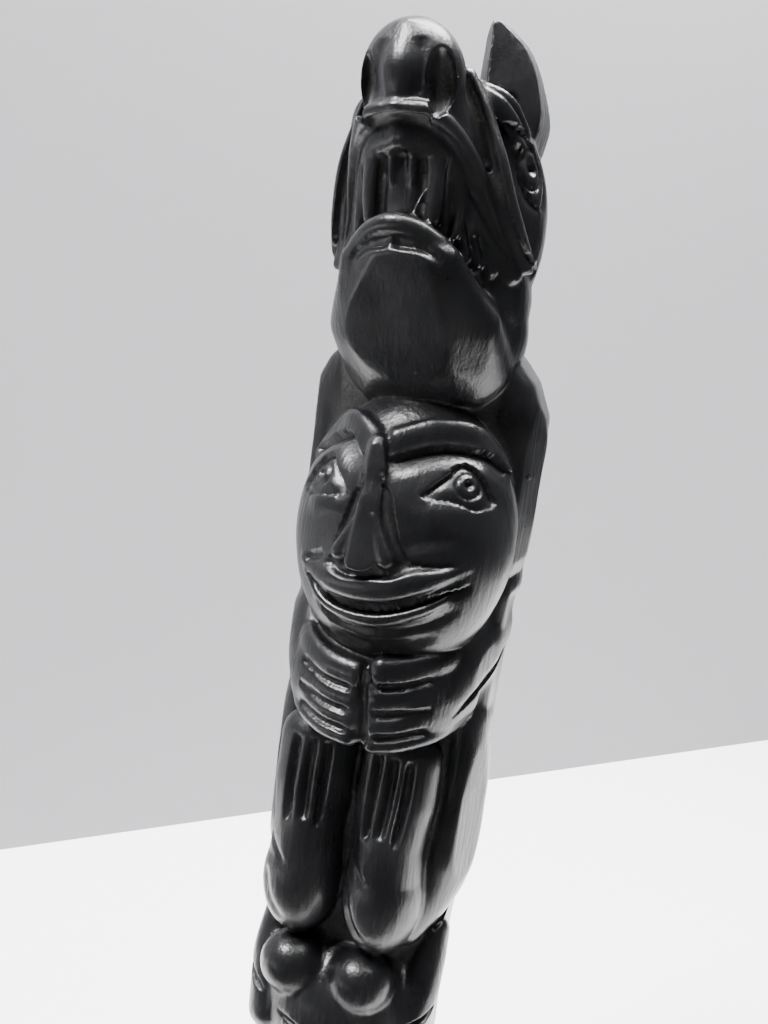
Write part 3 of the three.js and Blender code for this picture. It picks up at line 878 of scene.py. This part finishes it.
@dataclass
class BearBody:
    """The bear's shoulders, arms, hands, raised feet and folded legs.

    Attributes:
        hands: The bear's left hand and its right one, whose fingers lie closer together.
        parting: The x of the line where the two feet meet.
    """

    hands: tuple[Hand, ...] = (
        Hand(1, (101.8, 97.7, 93.8, 90.9), 1.0), Hand(-1, (100.6, 96.9, 94.0, 91.2), 0.6),
    )
    parting: float = -1.2

    def arms(self) -> list[Piece]:
        """Makes both upper arms and both forearms."""
        upper = Bench.strand([
            (8, 2.6, 143.4), (12.6, 3.8, 138), (13, 3.6, 126), (12.6, 3.8, 114),
        ], [(3.6, 5), (4.8, 6.6), (4.8, 7), (4.8, 6)], sides=36)
        lower = Bench.strand([
            (11.8, 4.4, 105.6), (11.8, -2.4, 102.4), (9.6, -8.2, 97.8),
        ], [(5.0, 7), (4.5, 6.2), (4.0, 5.0)], sides=36)
        return Bench.pair([upper, lower])

    def feet(self) -> list[Piece]:
        """Makes the raised feet, each a smooth slab with a waist above the rounded heel."""
        made = []
        for side in SIDES:
            middle = self.parting + side * 6.5
            made.append(Bench.egg((middle, -7.8, 63.8), (6.3, 7.2, 9.4)))
            made.append(Bench.strand([
                (middle, -7.6, 66), (middle, -7.6, 72.5), (middle, -7.4, 79), (middle, -7.2, 86.6),
            ], [(6.8, 5.9), (6.3, 5.5), (5.6, 6.3), (4.4, 6.2)], (0, -1, 0), sides=36))
        return made

    def legs(self) -> list[Piece]:
        """Makes the folded legs, long smooth forms that turn in below."""
        leg = Bench.strand([
            (12.2, 2.4, 92), (12.7, 1.8, 80), (12.2, -0.6, 67), (8.2, -6.0, 59),
        ], [(4.0, 7), (4.4, 8.4), (4.3, 7.4), (3.6, 4)], sides=36)
        return Bench.pair([leg])

    def build(self) -> Piece:
        """Makes the body round its column."""
        body = Bench.joined("bear_body", [Column().build(), *self.arms(), *self.legs()])
        Bench.fused(body, 0.5, 4)
        for side in SIDES:
            Bench.pare(body, (side * 16.7, -0.6, 125), (side * 0.95, -0.31, 0))
        hands = [form for hand in self.hands for form in hand.build()]
        body = Bench.joined("bear_body", [body, *hands, *self.feet()])
        return Bench.fused(body, 0.36, 6)

    def strokes(self) -> list[Stroke]:
        """Gives the knife's lines on the arms, hands and feet."""
        groove, step = Cut.GROOVE, Cut.STEP
        cuts = [cut for hand in self.hands for cut in hand.strokes()]
        # Where the fingertips meet.
        tips = ((0.2, -15.4, 102.6), (0.5, -16, 98.6), (1.1, -16, 94.6), (1.5, -15.6, 89.6))
        cuts.append(Stroke(tips, 0.9, 1.0, groove, 0.08))
        # Each foot: three cuts between its toes, and the sole's crease.
        for side in SIDES:
            middle = self.parting + side * 6.4
            for shift in (-2.9, 0.1, 3.0):
                top, low = middle + shift, middle + 0.86 * shift - side * 0.4
                toe = ((top, -12.4, 88.0), (top, -13, 82), (low, -13.4, 75.0 - 0.3 * abs(shift)))
                cuts.append(Stroke(toe, 1.0, 1.5, groove, 0.15))
            cuts.append(Stroke((
                (middle - 6.4, -9, 71.4), (middle - 3.4, -12.4, 69.6), (middle - 1.0, -13, 67.4),
            ), 0.9, 0.4))
            cuts.append(Stroke((
                (middle - 4.6, -12, 66.0), (middle - 3.6, -14, 61.6), (middle - 1.0, -14.6, 57.8),
            ), 1.2, 0.35))
        arms = [
            # The forearm's edge over the thigh, the elbow, and the folded leg's lower edge.
            Stroke((
                (12.2, -10.2, 94.8), (14.4, -6.4, 97.4), (15.8, -1.6, 100.6), (16.4, 3, 103.6),
            ), 2.0, 0.7, step, 0.35),
            Stroke((
                (12.6, -3.6, 113.2), (16.2, -1.0, 114.2), (17.2, 3.4, 115.4), (17, 7, 116),
            ), 2.4, 0.7, groove, 0.5),
            Stroke((
                (10.2, -3.6, 56.4), (13.4, -2.4, 57.6), (15.2, 1.6, 61.4), (15.6, 6, 66),
            ), 1.6, 0.8, step, 0.15),
        ]
        return cuts + both(arms)


@dataclass
class HumanFace:
    """The round human face under the bear's jaw, in the plain style of such carvings.

    Attributes:
        form: The form that its features are set on.
    """

    form: Form = Form((0.9, -5.8, 119.9), (16.3, 11.3, 20.4), -7)

    def build(self) -> Piece:
        """Makes the face."""
        on = self.form.on
        brows = [
            Bench.strand([
                on(0.2, 132.4, -1.0), on(6, 134.8, -1.0), on(11.2, 134.2, -1.0), on(14.4, 130.4, -1.0),
            ], [(1.4, 2.8)]),
            Bench.strand([
                on(-3.6, 132.0, -1.0), on(-7.8, 134.2, -0.9), on(-12.0, 133.2, -0.9),
                on(-14.0, 129.4, -0.9),
            ], [(1.4, 2.8)]),
        ]
        cheeks = [
            Bench.strand([
                on(5.0, 122.6, -1.2), on(9.8, 123.4, -1.2), on(13.4, 124.2, -1.2),
            ], [(1.3, 2.6), (1.6, 3.0), (1.0, 2.2)]),
            Bench.strand([
                on(-6.4, 121.6, -1.2), on(-10.6, 122.0, -1.2), on(-13.2, 122.4, -1.2),
            ], [(1.3, 2.6), (1.6, 3.0), (1.0, 2.2)]),
        ]
        nose = Bench.strand([
            on(-2.4, 132.0, -0.2), on(-1.8, 124.6, 1.6), on(-1.3, 117.8, 2.6),
        ], [(1.8, 1.6), (2.4, 2.3), (3.0, 3.2)], (0, -1, 0))
        Bench.pare(nose, (-1.2, -19.3, 117), (0.1, -0.96, 0.27))
        Bench.pare(nose, (0.9, -19.3, 117), (0.72, -0.66, 0.2))
        Bench.pare(nose, (-3.3, -19.3, 117), (-0.72, -0.66, 0.2))
        wings = [
            Bench.strand([on(-1.8 + a, 122.4, 0.2), on(-1.4 + b, 116.9, 0.3)], [(0.8, 0.9), (1.7, 1.5)])
            for a, b in ((-1.0, -3.4), (1.0, 3.4))
        ]
        upper = Bench.strand([
            on(-11.4, 114.2, -0.3), on(-6.0, 112.6, 0.1), on(1.0, 112.7, 0.4), on(7.4, 114.9, 0.1),
            on(12.8, 117.4, -0.5),
        ], [(0.9, 1.0), (1.2, 2.0), (1.3, 2.1), (1.2, 1.8), (0.8, 0.9)])
        lower = Bench.strand([
            on(-10.8, 112.6, -0.4), on(-6.2, 109.2, 0.0), on(0.6, 108.4, 0.1), on(7.0, 110.8, 0.0),
            on(12.0, 114.4, -0.5),
        ], [(0.9, 0.9), (1.2, 1.4), (1.3, 1.5), (1.2, 1.4), (0.8, 0.9)])
        block = self.form.block(64)
        Bench.pare(block, (-3.0, -12.7, 133.9), (-0.11, -0.79, 0.61))
        face = Bench.joined("human_face", [block, *brows, *cheeks, *wings, upper, lower])
        Bench.fused(face, 0.36, 8)
        face = Bench.joined("human_face", [face, nose])
        return Bench.fused(face, 0.3, 1)

    @staticmethod
    def beside(at: Triple, right: Triple, places: Sequence[Pair]) -> tuple[Triple, ...]:
        """Gives points beside an iris, each by its steps away from the nose and up."""
        (x, y, z), (a, b, c) = at, right
        return tuple((x + away * a, y + away * b, z + away * c + high) for away, high in places)

    def eye(self, at: Triple, right: Triple, side: int) -> list[Stroke]:
        """Gives the strokes of an eye.

        Args:
            at: The middle of its iris.
            right: A unit step away from the nose, along the stone.
            side: The side of the face that it is on.

        Returns:
            The strokes of its lids, iris and pupil.
        """
        upper = self.beside(at, right, ((-6.9, -1.9), (-3.4, 1.2), (-0.4, 3.5), (2.2, 1.6), (4.3, -2.6)))
        lower = self.beside(at, right, ((4.3, -2.8), (0.4, -3.6), (-3.4, -2.7), (-6.9, -1.9)))
        if side > 0:
            upper, lower = upper[::-1], lower[::-1]
        out = tuple(1.9 * r for r in right)
        return [
            Stroke(upper, 2.4, 0.95, Cut.STEP, 0.08),
            Stroke(lower, 1.7, 0.6, Cut.STEP, 0.4),
            Stroke.ring(at, out, (0, 0, 1.9), 0.5, 0.42),
            Stroke((at, *self.beside(at, right, [(0.1, 0.1)])), 0.85, 0.8, Cut.HOLLOW, 0),
        ]

    def strokes(self) -> list[Stroke]:
        """Gives the knife's lines on the face."""
        step, hollow = Cut.STEP, Cut.HOLLOW
        return [
            # The brows, with the stone cut back below them.
            Stroke((
                (15.4, -5, 130.6), (12.8, -8.6, 133.8), (9.0, -11.2, 134.6), (4.4, -13.0, 133.6),
                (-0.8, -14.8, 131.4),
            ), 3.6, 1.5, step, 0.1),
            Stroke((
                (-4.2, -14.4, 131.2), (-7.8, -12.4, 134.0), (-11.2, -9.6, 134.0), (-14.6, -5.4, 129.8),
            ), 3.6, 1.5, step, 0.1),
            *self.eye((10.7, -12.0, 129.2), (0.84, 0.54, 0.0), 1),
            *self.eye((-10.9, -12.2, 127.6), (-0.84, 0.54, 0.0), -1),
            # The sides of the nose and the curves round its wings.
            Stroke((
                (5.2, -16.6, 117.6), (3.0, -17.2, 121.6), (1.4, -16.8, 126), (-0.2, -15.6, 130.4),
            ), 2.4, 0.7, step, 0.15),
            Stroke((
                (-3.6, -15.6, 130.0), (-4.6, -15.8, 125.4), (-5.6, -16.0, 120.6), (-6.6, -16.0, 117.0),
            ), 2.4, 0.7, step, 0.15),
            Stroke((
                (-6.8, -16.0, 117.2), (-4.6, -16.6, 114.9), (-1.0, -17.0, 114.5), (2.8, -16.8, 115.2),
                (5.4, -16.4, 117.8),
            ), 1.1, 0.7),
            # The cheeks' creases.
            Stroke(((3.6, -16.6, 120.4), (6.8, -16.4, 121.4), (11.4, -14.4, 122.4)), 1.6, 0.5),
            Stroke(((11.4, -13.8, 118.4), (7.6, -15.5, 118.0), (3.8, -17.4, 119.0)), 1.9, 0.6, step, 0.3),
            Stroke(((-11.4, -14.2, 115.3), (-7.6, -15.6, 117.0)), 0.9, 0.6),
            # The mouth: the upper lip's crisp lower edge, the slit, and the lower lip.
            Stroke((
                (12.8, -12.6, 116.0), (8.4, -15.6, 113.6), (2.2, -17.4, 111.5), (-5.2, -16.2, 111.0),
                (-10.4, -14.4, 113.6),
            ), 1.7, 1.6, step, 0.1),
            Stroke((
                (11.8, -13.0, 112.6), (7.6, -15.0, 109.2), (1.4, -16.4, 107.3), (-4.6, -15.4, 107.2),
                (-9.4, -13.8, 110.0),
            ), 1.2, 0.6),
            Stroke((
                (9.6, -13.4, 108.4), (4.4, -15.2, 105.2), (-1.0, -15.2, 104.4), (-6.4, -13.8, 106.0),
            ), 2.0, 0.4, hollow),
        ]


@dataclass
class Frog:
    """The frog under the bear's feet: a wide mouth, round eyes and folded legs.

    Attributes:
        aside: How far its head sits to one side, as the feet above it do.
    """

    aside: float = -1.5

    def build(self) -> Piece:
        """Makes the frog."""
        head = Bench.egg((0.4, -2.6, 42), (14.2, 13.2, 13.4))
        chest = Bench.egg((0, -1.5, 22), (13, 10.4, 22))
        cheek = Bench.strand([
            (10.6, -9.4, 40), (12.4, -5.4, 48), (12.6, -0.5, 56),
        ], [(3.2, 3.6), (3.0, 3.4), (2.4, 3.2)])
        foreleg = Bench.strand([
            (12.0, 1.5, 31), (13.4, -3.4, 20), (10.6, -9.6, 7),
        ], [(3.6, 4.6), (3.2, 3.8), (2.6, 3.2)])
        haunch = Bench.egg((12.2, 4.4, 13), (4.4, 6.6, 12))
        foot = Bench.strand([(13.4, 7, 2.4), (14.4, -1, 1.8)], [(2.2, 2.6)])
        frog = Bench.joined("frog", [head, chest, *Bench.pair([cheek, foreleg, haunch, foot])])
        eyes = [Bench.egg((self.aside + side * 5.6, -10.4, 50.0), (5.2, 4.9, 5.0)) for side in SIDES]
        frog = Bench.joined("frog", [frog, *eyes])
        Bench.fused(frog, 0.45, 14)
        mouth = Bench.strand([(15.4, -6.5, 46.2), (10.6, -12.8, 43.6), (-0.4, -16.8, 41.6)], [(1.0, 0.6)])
        Bench.cut(frog, Bench.pair([mouth]))
        toes = [
            Bench.strand([
                (11.6 - 3 * i, -9.6 - 0.9 * i, 6.6), (11.8 - 3.4 * i, -12.2 - 0.7 * i, 1.0),
            ], [(1.6, 1.5)])
            for i in range(3)
        ]
        return Bench.joined("frog", [frog, *Bench.pair(toes)])

    def strokes(self) -> list[Stroke]:
        """Gives the knife's lines on the frog."""
        return both([Stroke(((2.0, -12.4, 30), (3.4, -12.2, 20), (2.4, -11.6, 8)), 1.4, 0.7)])


@dataclass
class Base:
    """The low square base that the pole is carved in one with.

    Attributes:
        low: The corner where its x, y and z are least.
        high: The corner where they are greatest.
        chamfer: The width of the flat along its top edge.
    """

    low: Triple
    high: Triple
    chamfer: float = 1.2

    def build(self) -> Piece:
        """Makes the base from a cube, with its upper edges bevelled."""
        middle = [(a + b) / 2 for a, b in zip(self.low, self.high)]
        size = [b - a for a, b in zip(self.low, self.high)]
        bpy.ops.object.select_all(action="DESELECT")
        bpy.ops.mesh.primitive_cube_add(size=1.0, location=middle, scale=size)
        piece = bpy.context.object
        bpy.ops.object.transform_apply(location=True, rotation=True, scale=True)
        for across, deep in ((1, 0), (-1, 0), (0, 1), (0, -1)):
            corner = (
                across * (size[0] / 2 - self.chamfer) + middle[0],
                deep * (size[1] / 2 - self.chamfer) + middle[1], self.high[2],
            )
            Bench.pare(piece, corner, (across, deep, 1))
        return piece


@dataclass
class TotemPole:
    """The whole pole, as one stone.

    Attributes:
        grain: The size of the faces that the fine strokes are cut in, in millimetres.
        most_triangles: How many triangles the finished mesh keeps.
        waver: How uneven its surface is, in millimetres.
        evening: How many times the surface is evened to find its hollows.
        full_hollow: How far below the evened surface a full hollow lies, in millimetres.
    """

    grain: float = 0.28
    most_triangles: int = 190000
    waver: float = 0.035
    evening: int = 24
    full_hollow: float = 0.45

    def place(self) -> Matrix:
        """Gives the move from the carver's frame to the part's own frame in metres."""
        return Matrix.Scale(MILLIMETRE, 4) @ Matrix.Translation(AXIS)

    def build(self) -> Piece:
        """Makes the pole and finishes its surface."""
        low, high = (np.array(corner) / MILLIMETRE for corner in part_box("totem_pole"))
        parts = [Base(tuple(low - AXIS), (*(high - AXIS)[:2], 0.0)).build()]
        figures = (BearBody(), BearHead(), HumanFace(), Frog())
        for figure in figures:
            parts.append(figure.build())
            LOG.info("%s done", parts[-1].name)
        pole = Bench.joined("argillite_totem_pole", parts)
        Bench.fused(pole, self.grain, 1)
        skin = Skin(pole)
        for figure in figures:
            skin.carve(figure.strokes())
        skin.waver(self.waver)
        skin.finish()
        Bench.rub(pole, 0.35, 1)
        self.thin(pole)
        Bench.alone(pole)
        bpy.ops.object.shade_smooth()
        self.mark_hollows(pole)
        pole.data.transform(self.place())
        pole.data.update()
        LOG.info("%s done, with %d faces", pole.name, len(pole.data.polygons))
        return pole

    def thin(self, pole: Piece) -> None:
        """Joins faces where the surface is plain, until few enough are left."""
        kept = self.most_triangles / (2 * len(pole.data.polygons))
        Bench.modify(pole, "DECIMATE", {"ratio": kept})

    def mark_hollows(self, pole: Piece) -> None:
        """Notes at each corner how hollow the stone is there, for the dust that stays in it.

        Args:
            pole: The pole.
        """
        places = Bench.corners(pole)
        mesh = pole.data
        ends = np.empty(len(mesh.edges) * 2, dtype=np.int64)
        mesh.edges.foreach_get("vertices", ends)
        ends = ends.reshape(-1, 2)
        one, other = np.concatenate([ends, ends[:, ::-1]]).T
        count = np.bincount(one, minlength=len(places))
        smooth = places.copy()
        for _ in range(self.evening):
            near = [np.bincount(one, smooth[other, k], len(places)) / count for k in range(3)]
            smooth = np.stack(near, axis=1)
        hollow = ((smooth - places) * Bench.normals(pole)).sum(axis=1)
        for _ in range(2):
            hollow = np.bincount(one, hollow[other], len(places)) / count
        mark = mesh.attributes.new("hollow", "FLOAT", "POINT")
        mark.data.foreach_set("value", np.clip(hollow / self.full_hollow, -1, 1).astype(np.float32))


def linear(hexcode: str) -> tuple[float, float, float, float]:
    """Turns an sRGB hex value into a linear colour.

    Args:
        hexcode: Six hex digits.

    Returns:
        Red, green, blue and alpha.
    """
    shares = [int(hexcode[i : i + 2], 16) / 255 for i in (0, 2, 4)]
    line = [s / 12.92 if s <= 0.04045 else ((s + 0.055) / 1.055) ** 2.4 for s in shares]
    return (line[0], line[1], line[2], 1.0)


def node(
    tree: bpy.types.NodeTree, kind: str, settings: dict[str, object] | None = None,
    inputs: dict[str | int, object] | None = None, out: str | int = 0
) -> bpy.types.NodeSocket:
    """Adds a node with its settings and links.

    Args:
        tree: The material's node tree.
        kind: The node's type.
        settings: Properties of the node.
        inputs: Values, or sockets to link, by the input's name or number.
        out: The name or number of the output to give.

    Returns:
        The output of the new node.
    """
    made = tree.nodes.new("ShaderNode" + kind)
    for key, value in (settings or {}).items():
        setattr(made, key, value)
    for key, value in (inputs or {}).items():
        if isinstance(value, bpy.types.NodeSocket):
            tree.links.new(value, made.inputs[key])
        else:
            made.inputs[key].default_value = value
    return made.outputs[out]


@dataclass(frozen=True)
class PolishedArgillite:
    """Argillite, a black carbon-rich slate, pared with a knife and rubbed to a satin gloss.

    Attributes:
        stone: Its colour where it is rubbed.
        pale: The faint grey of its bedding.
        dust: The colour of the fine dust that stays in deep cuts.
        scratch: The spacing of the knife's fine scratches, in metres. The real ones lie closer.
    """

    stone: str = "0d0d0f"
    pale: str = "161618"
    dust: str = "33322f"
    scratch: float = 0.00075

    def material(self) -> bpy.types.Material:
        """Makes the material."""
        made = bpy.data.materials.new("polished_argillite")
        made.use_nodes = True
        tree = made.node_tree
        shader = tree.nodes["Principled BSDF"]
        shader.inputs["IOR"].default_value = 1.46
        shader.inputs["Coat Weight"].default_value = 0.12
        shader.inputs["Coat Roughness"].default_value = 0.2
        place = node(tree, "TexCoord", out="Object")
        hollow = node(tree, "Attribute", {"attribute_name": "hollow"}, out="Fac")
        cloud = node(tree, "TexNoise", inputs={"Vector": place, "Scale": 140.0, "Detail": 4.0})
        grit = node(tree, "TexNoise", inputs={"Vector": place, "Scale": 2600.0, "Detail": 3.0})
        cloudy = node(tree, "MapRange", inputs={0: cloud, 1: 0.35, 2: 0.7})
        tints = {0: cloudy, 6: linear(self.stone), 7: linear(self.pale)}
        body = node(tree, "Mix", {"data_type": "RGBA"}, tints, 2)
        settled = node(tree, "MapRange", inputs={0: hollow, 1: 0.6, 2: 1.1})
        speckled = node(tree, "MapRange", inputs={0: grit, 1: 0.42, 2: 0.66, 3: 0.15})
        dusty = node(tree, "Math", {"operation": "MULTIPLY"}, {0: settled, 1: speckled})
        colour = node(tree, "Mix", {"data_type": "RGBA"}, {0: dusty, 6: body, 7: linear(self.dust)}, 2)
        tree.links.new(colour, shader.inputs["Base Color"])
        rubbed = node(tree, "MapRange", inputs={0: cloud, 1: 0.3, 2: 0.75, 3: 0.27, 4: 0.38})
        rougher = {"operation": "MULTIPLY_ADD", "use_clamp": True}
        rough = node(tree, "Math", rougher, {0: settled, 1: 0.3, 2: rubbed})
        tree.links.new(rough, shader.inputs["Roughness"])
        fine = node(tree, "Bump", inputs={"Strength": 0.2, "Distance": 0.0002, "Height": grit})
        lines = {
            "Strength": 0.34, "Distance": 0.0003, "Height": self.scratches(tree, place), "Normal": fine,
        }
        tree.links.new(node(tree, "Bump", inputs=lines), shader.inputs["Normal"])
        return made

    def scratches(self, tree: bpy.types.NodeTree, place: bpy.types.NodeSocket) -> bpy.types.NodeSocket:
        """Adds the fine parallel scratches of the knife, in patches that lie different ways.

        Args:
            tree: The material's node tree.
            place: The place on the stone.

        Returns:
            The height of the scratches there.
        """
        patches = node(tree, "TexNoise", inputs={"Vector": place, "Scale": 110.0, "Detail": 1.0})
        chosen = node(tree, "MapRange", inputs={0: patches, 1: 0.46, 2: 0.54})
        scale = (1 / self.scratch, 1 / self.scratch, 0.12 / self.scratch)
        ways = []
        for turn in ((0.3, 0.75, 0.2), (-0.4, -0.6, 0.9)):
            turned = node(tree, "Mapping", inputs={"Vector": place, "Rotation": turn, "Scale": scale})
            ways.append(node(tree, "TexNoise", inputs={"Vector": turned, "Scale": 1.0, "Detail": 2.0}))
        return node(tree, "Mix", {"data_type": "FLOAT"}, {0: chosen, 2: ways[0], 3: ways[1]})


@dataclass
class Stage:
    """The pale table and wall behind the pole, and the camera's place before them.

    Attributes:
        bearing: How far the camera stands round from straight ahead, in degrees.
        reach: The camera's distance from the pole's axis, over the table, in metres.
        height: Its height over the table, in metres.
        pitch: How far it looks down, in degrees.
        roll: How far it is rolled, in degrees.
        aside: How far it looks past the axis, in degrees.
        lens: Its focal length in millimetres, for a frame 36 mm high.
        wall_from: A point of the line where the wall meets the table, in metres.
        wall_to: Another point of that line.
        wall_size: The wall's width and height, in metres.
        boards: The table's boards, each by its least and greatest x and y, in metres.
    """

    bearing: float = 15.0
    reach: float = 0.169
    height: float = 0.165
    pitch: float = 12.0
    roll: float = 7.0
    aside: float = 1.4
    lens: float = 40.43
    wall_from: Pair = (-0.1235, 0.0847)
    wall_to: Pair = (0.0777, 0.3016)
    wall_size: float = 4.0
    boards: dict[str, tuple[float, float, float, float]] = field(default_factory=lambda: {
        "table": (-2.0, -0.035, 0.30, 2.0), "table_left": (-2.0, -2.0, -0.26, -0.035),
        "table_right": (0.30, -0.035, 2.0, 2.0), "table_front": (-0.26, -2.0, 2.0, -0.035),
    })

    def eye_place(self) -> Vector:
        """Gives the camera's place."""
        angle = math.radians(self.bearing)
        back = AXIS[1] * MILLIMETRE
        return vec(self.reach * math.sin(angle), back - self.reach * math.cos(angle), self.height)

    def axes(self) -> tuple[Vector, Vector, Vector]:
        """Gives the camera's right, up and forward directions."""
        round_z = math.radians(self.bearing + self.aside)
        down, roll = math.radians(self.pitch), math.radians(self.roll)
        ahead = vec(
            -math.sin(round_z) * math.cos(down), math.cos(round_z) * math.cos(down), -math.sin(down)
        )
        right = vec(math.cos(round_z), math.sin(round_z), 0)
        up = right.cross(ahead)
        return (
            right * math.cos(roll) + up * math.sin(roll), up * math.cos(roll) - right * math.sin(roll),
            ahead,
        )

    def camera(self) -> None:
        """Sets the camera up."""
        data = bpy.data.cameras.new("camera")
        data.lens = self.lens
        data.sensor_width = 36.0
        data.clip_start = 0.005
        camera = bpy.data.objects.new("camera", data)
        bpy.context.collection.objects.link(camera)
        right, up, ahead = self.axes()
        turned = Matrix((right, up, -ahead)).transposed().to_4x4()
        turned.translation = self.eye_place()
        camera.matrix_world = turned
        bpy.context.scene.camera = camera

    def surface(self, name: str, tint: str, rough: float) -> bpy.types.Material:
        """Makes a plain matt material for the stage.

        Args:
            name: Its name.
            tint: Its sRGB hex value.
            rough: Its roughness.

        Returns:
            The material.
        """
        made = bpy.data.materials.new(name)
        made.use_nodes = True
        shader = made.node_tree.nodes["Principled BSDF"]
        shader.inputs["Base Color"].default_value = linear(tint)
        shader.inputs["Roughness"].default_value = rough
        return made

    def one_sided(self, paint: bpy.types.Material) -> None:
        """Lets a view from behind the wall see through it.

        Args:
            paint: The wall's material.
        """
        tree = paint.node_tree
        behind = node(tree, "NewGeometry", out="Backfacing")
        solid = tree.nodes["Principled BSDF"].outputs[0]
        either = node(tree, "MixShader", inputs={0: behind, 1: solid, 2: node(tree, "BsdfTransparent")})
        tree.links.new(either, tree.nodes["Material Output"].inputs["Surface"])

    def room(self) -> None:
        """Makes the dim room, which looks pale where the picture shows it."""
        world = bpy.data.worlds.new("room")
        world.use_nodes = True
        tree = world.node_tree
        air = tree.nodes["Background"]
        air.inputs["Color"].default_value = linear("b8babd")
        seen = node(tree, "LightPath", out="Is Camera Ray")
        strength = node(tree, "MapRange", inputs={0: seen, 3: 0.07})
        tree.links.new(strength, air.inputs["Strength"])
        bpy.context.scene.world = world

    def build(self) -> None:
        """Makes the table, the wall, the lights and the camera."""
        self.camera()
        (x0, y0), (x1, y1) = self.wall_from, self.wall_to
        angle = math.atan2(y1 - y0, x1 - x0)
        middle = ((x0 + x1) / 2, (y0 + y1) / 2)
        bpy.ops.object.select_all(action="DESELECT")
        bpy.ops.mesh.primitive_plane_add(
            size=self.wall_size, location=(*middle, self.wall_size / 2), rotation=(math.pi / 2, 0, angle)
        )
        wall = bpy.context.object
        wall.name = "wall"
        paint = self.surface("painted_wall", "949497", 0.8)
        self.one_sided(paint)
        wall.data.materials.append(paint)
        top = self.surface("painted_table", "ffffff", 0.6)
        parts = [wall]
        for name, (x0, y0, x1, y1) in self.boards.items():
            bpy.ops.mesh.primitive_plane_add(size=1.0, location=((x0 + x1) / 2, (y0 + y1) / 2, 0))
            board = bpy.context.object
            board.name = name
            board.scale = (x1 - x0, y1 - y0, 1)
            board.data.materials.append(top)
            parts.append(board)
        # In front and on the right the stone mirrors a dark room, and not the table.
        for board in parts[-2:]:
            board.visible_glossy = False
        for part in parts:
            Bench.alone(part)
            bpy.ops.object.transform_apply(location=True, rotation=True, scale=True)
        self.light("window", (-0.44, -0.44, 1.0), (0, 0, 0.12), 0.26, 26.0)
        self.light("lamp", (0.0, 0.17, 0.62), (-0.02, 0.20, 0), 0.42, 29.0)
        self.light("sky", (0.3, -0.1, 1.2), (0.0, 0.5, 0.2), 0.6, 9.0)
        self.room()

    def light(self, name: str, at: Triple, toward: Triple, size: float, power: float) -> None:
        """Adds a soft area light.

        Args:
            name: Its name.
            at: Its place.
            toward: The point that it faces.
            size: Its width and height.
            power: Its power in watts.
        """
        data = bpy.data.lights.new(name, "AREA")
        data.energy = power
        data.size = size
        lamp = bpy.data.objects.new(name, data)
        bpy.context.collection.objects.link(lamp)
        lamp.location = at
        lamp.rotation_euler = (Vector(toward) - Vector(at)).to_track_quat("-Z", "Y").to_euler()


def main() -> None:
    """Builds the pole and its stage, and hands them over."""
    logging.basicConfig(level=logging.INFO, format="%(name)s: %(message)s")
    pole = TotemPole().build()
    pole.data.materials.clear()
    pole.data.materials.append(PolishedArgillite().material())
    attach(pole, "root")
    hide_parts("totem_pole")
    Stage().build()
    LOG.info("stage done")


if __name__ == "__main__":
    main()
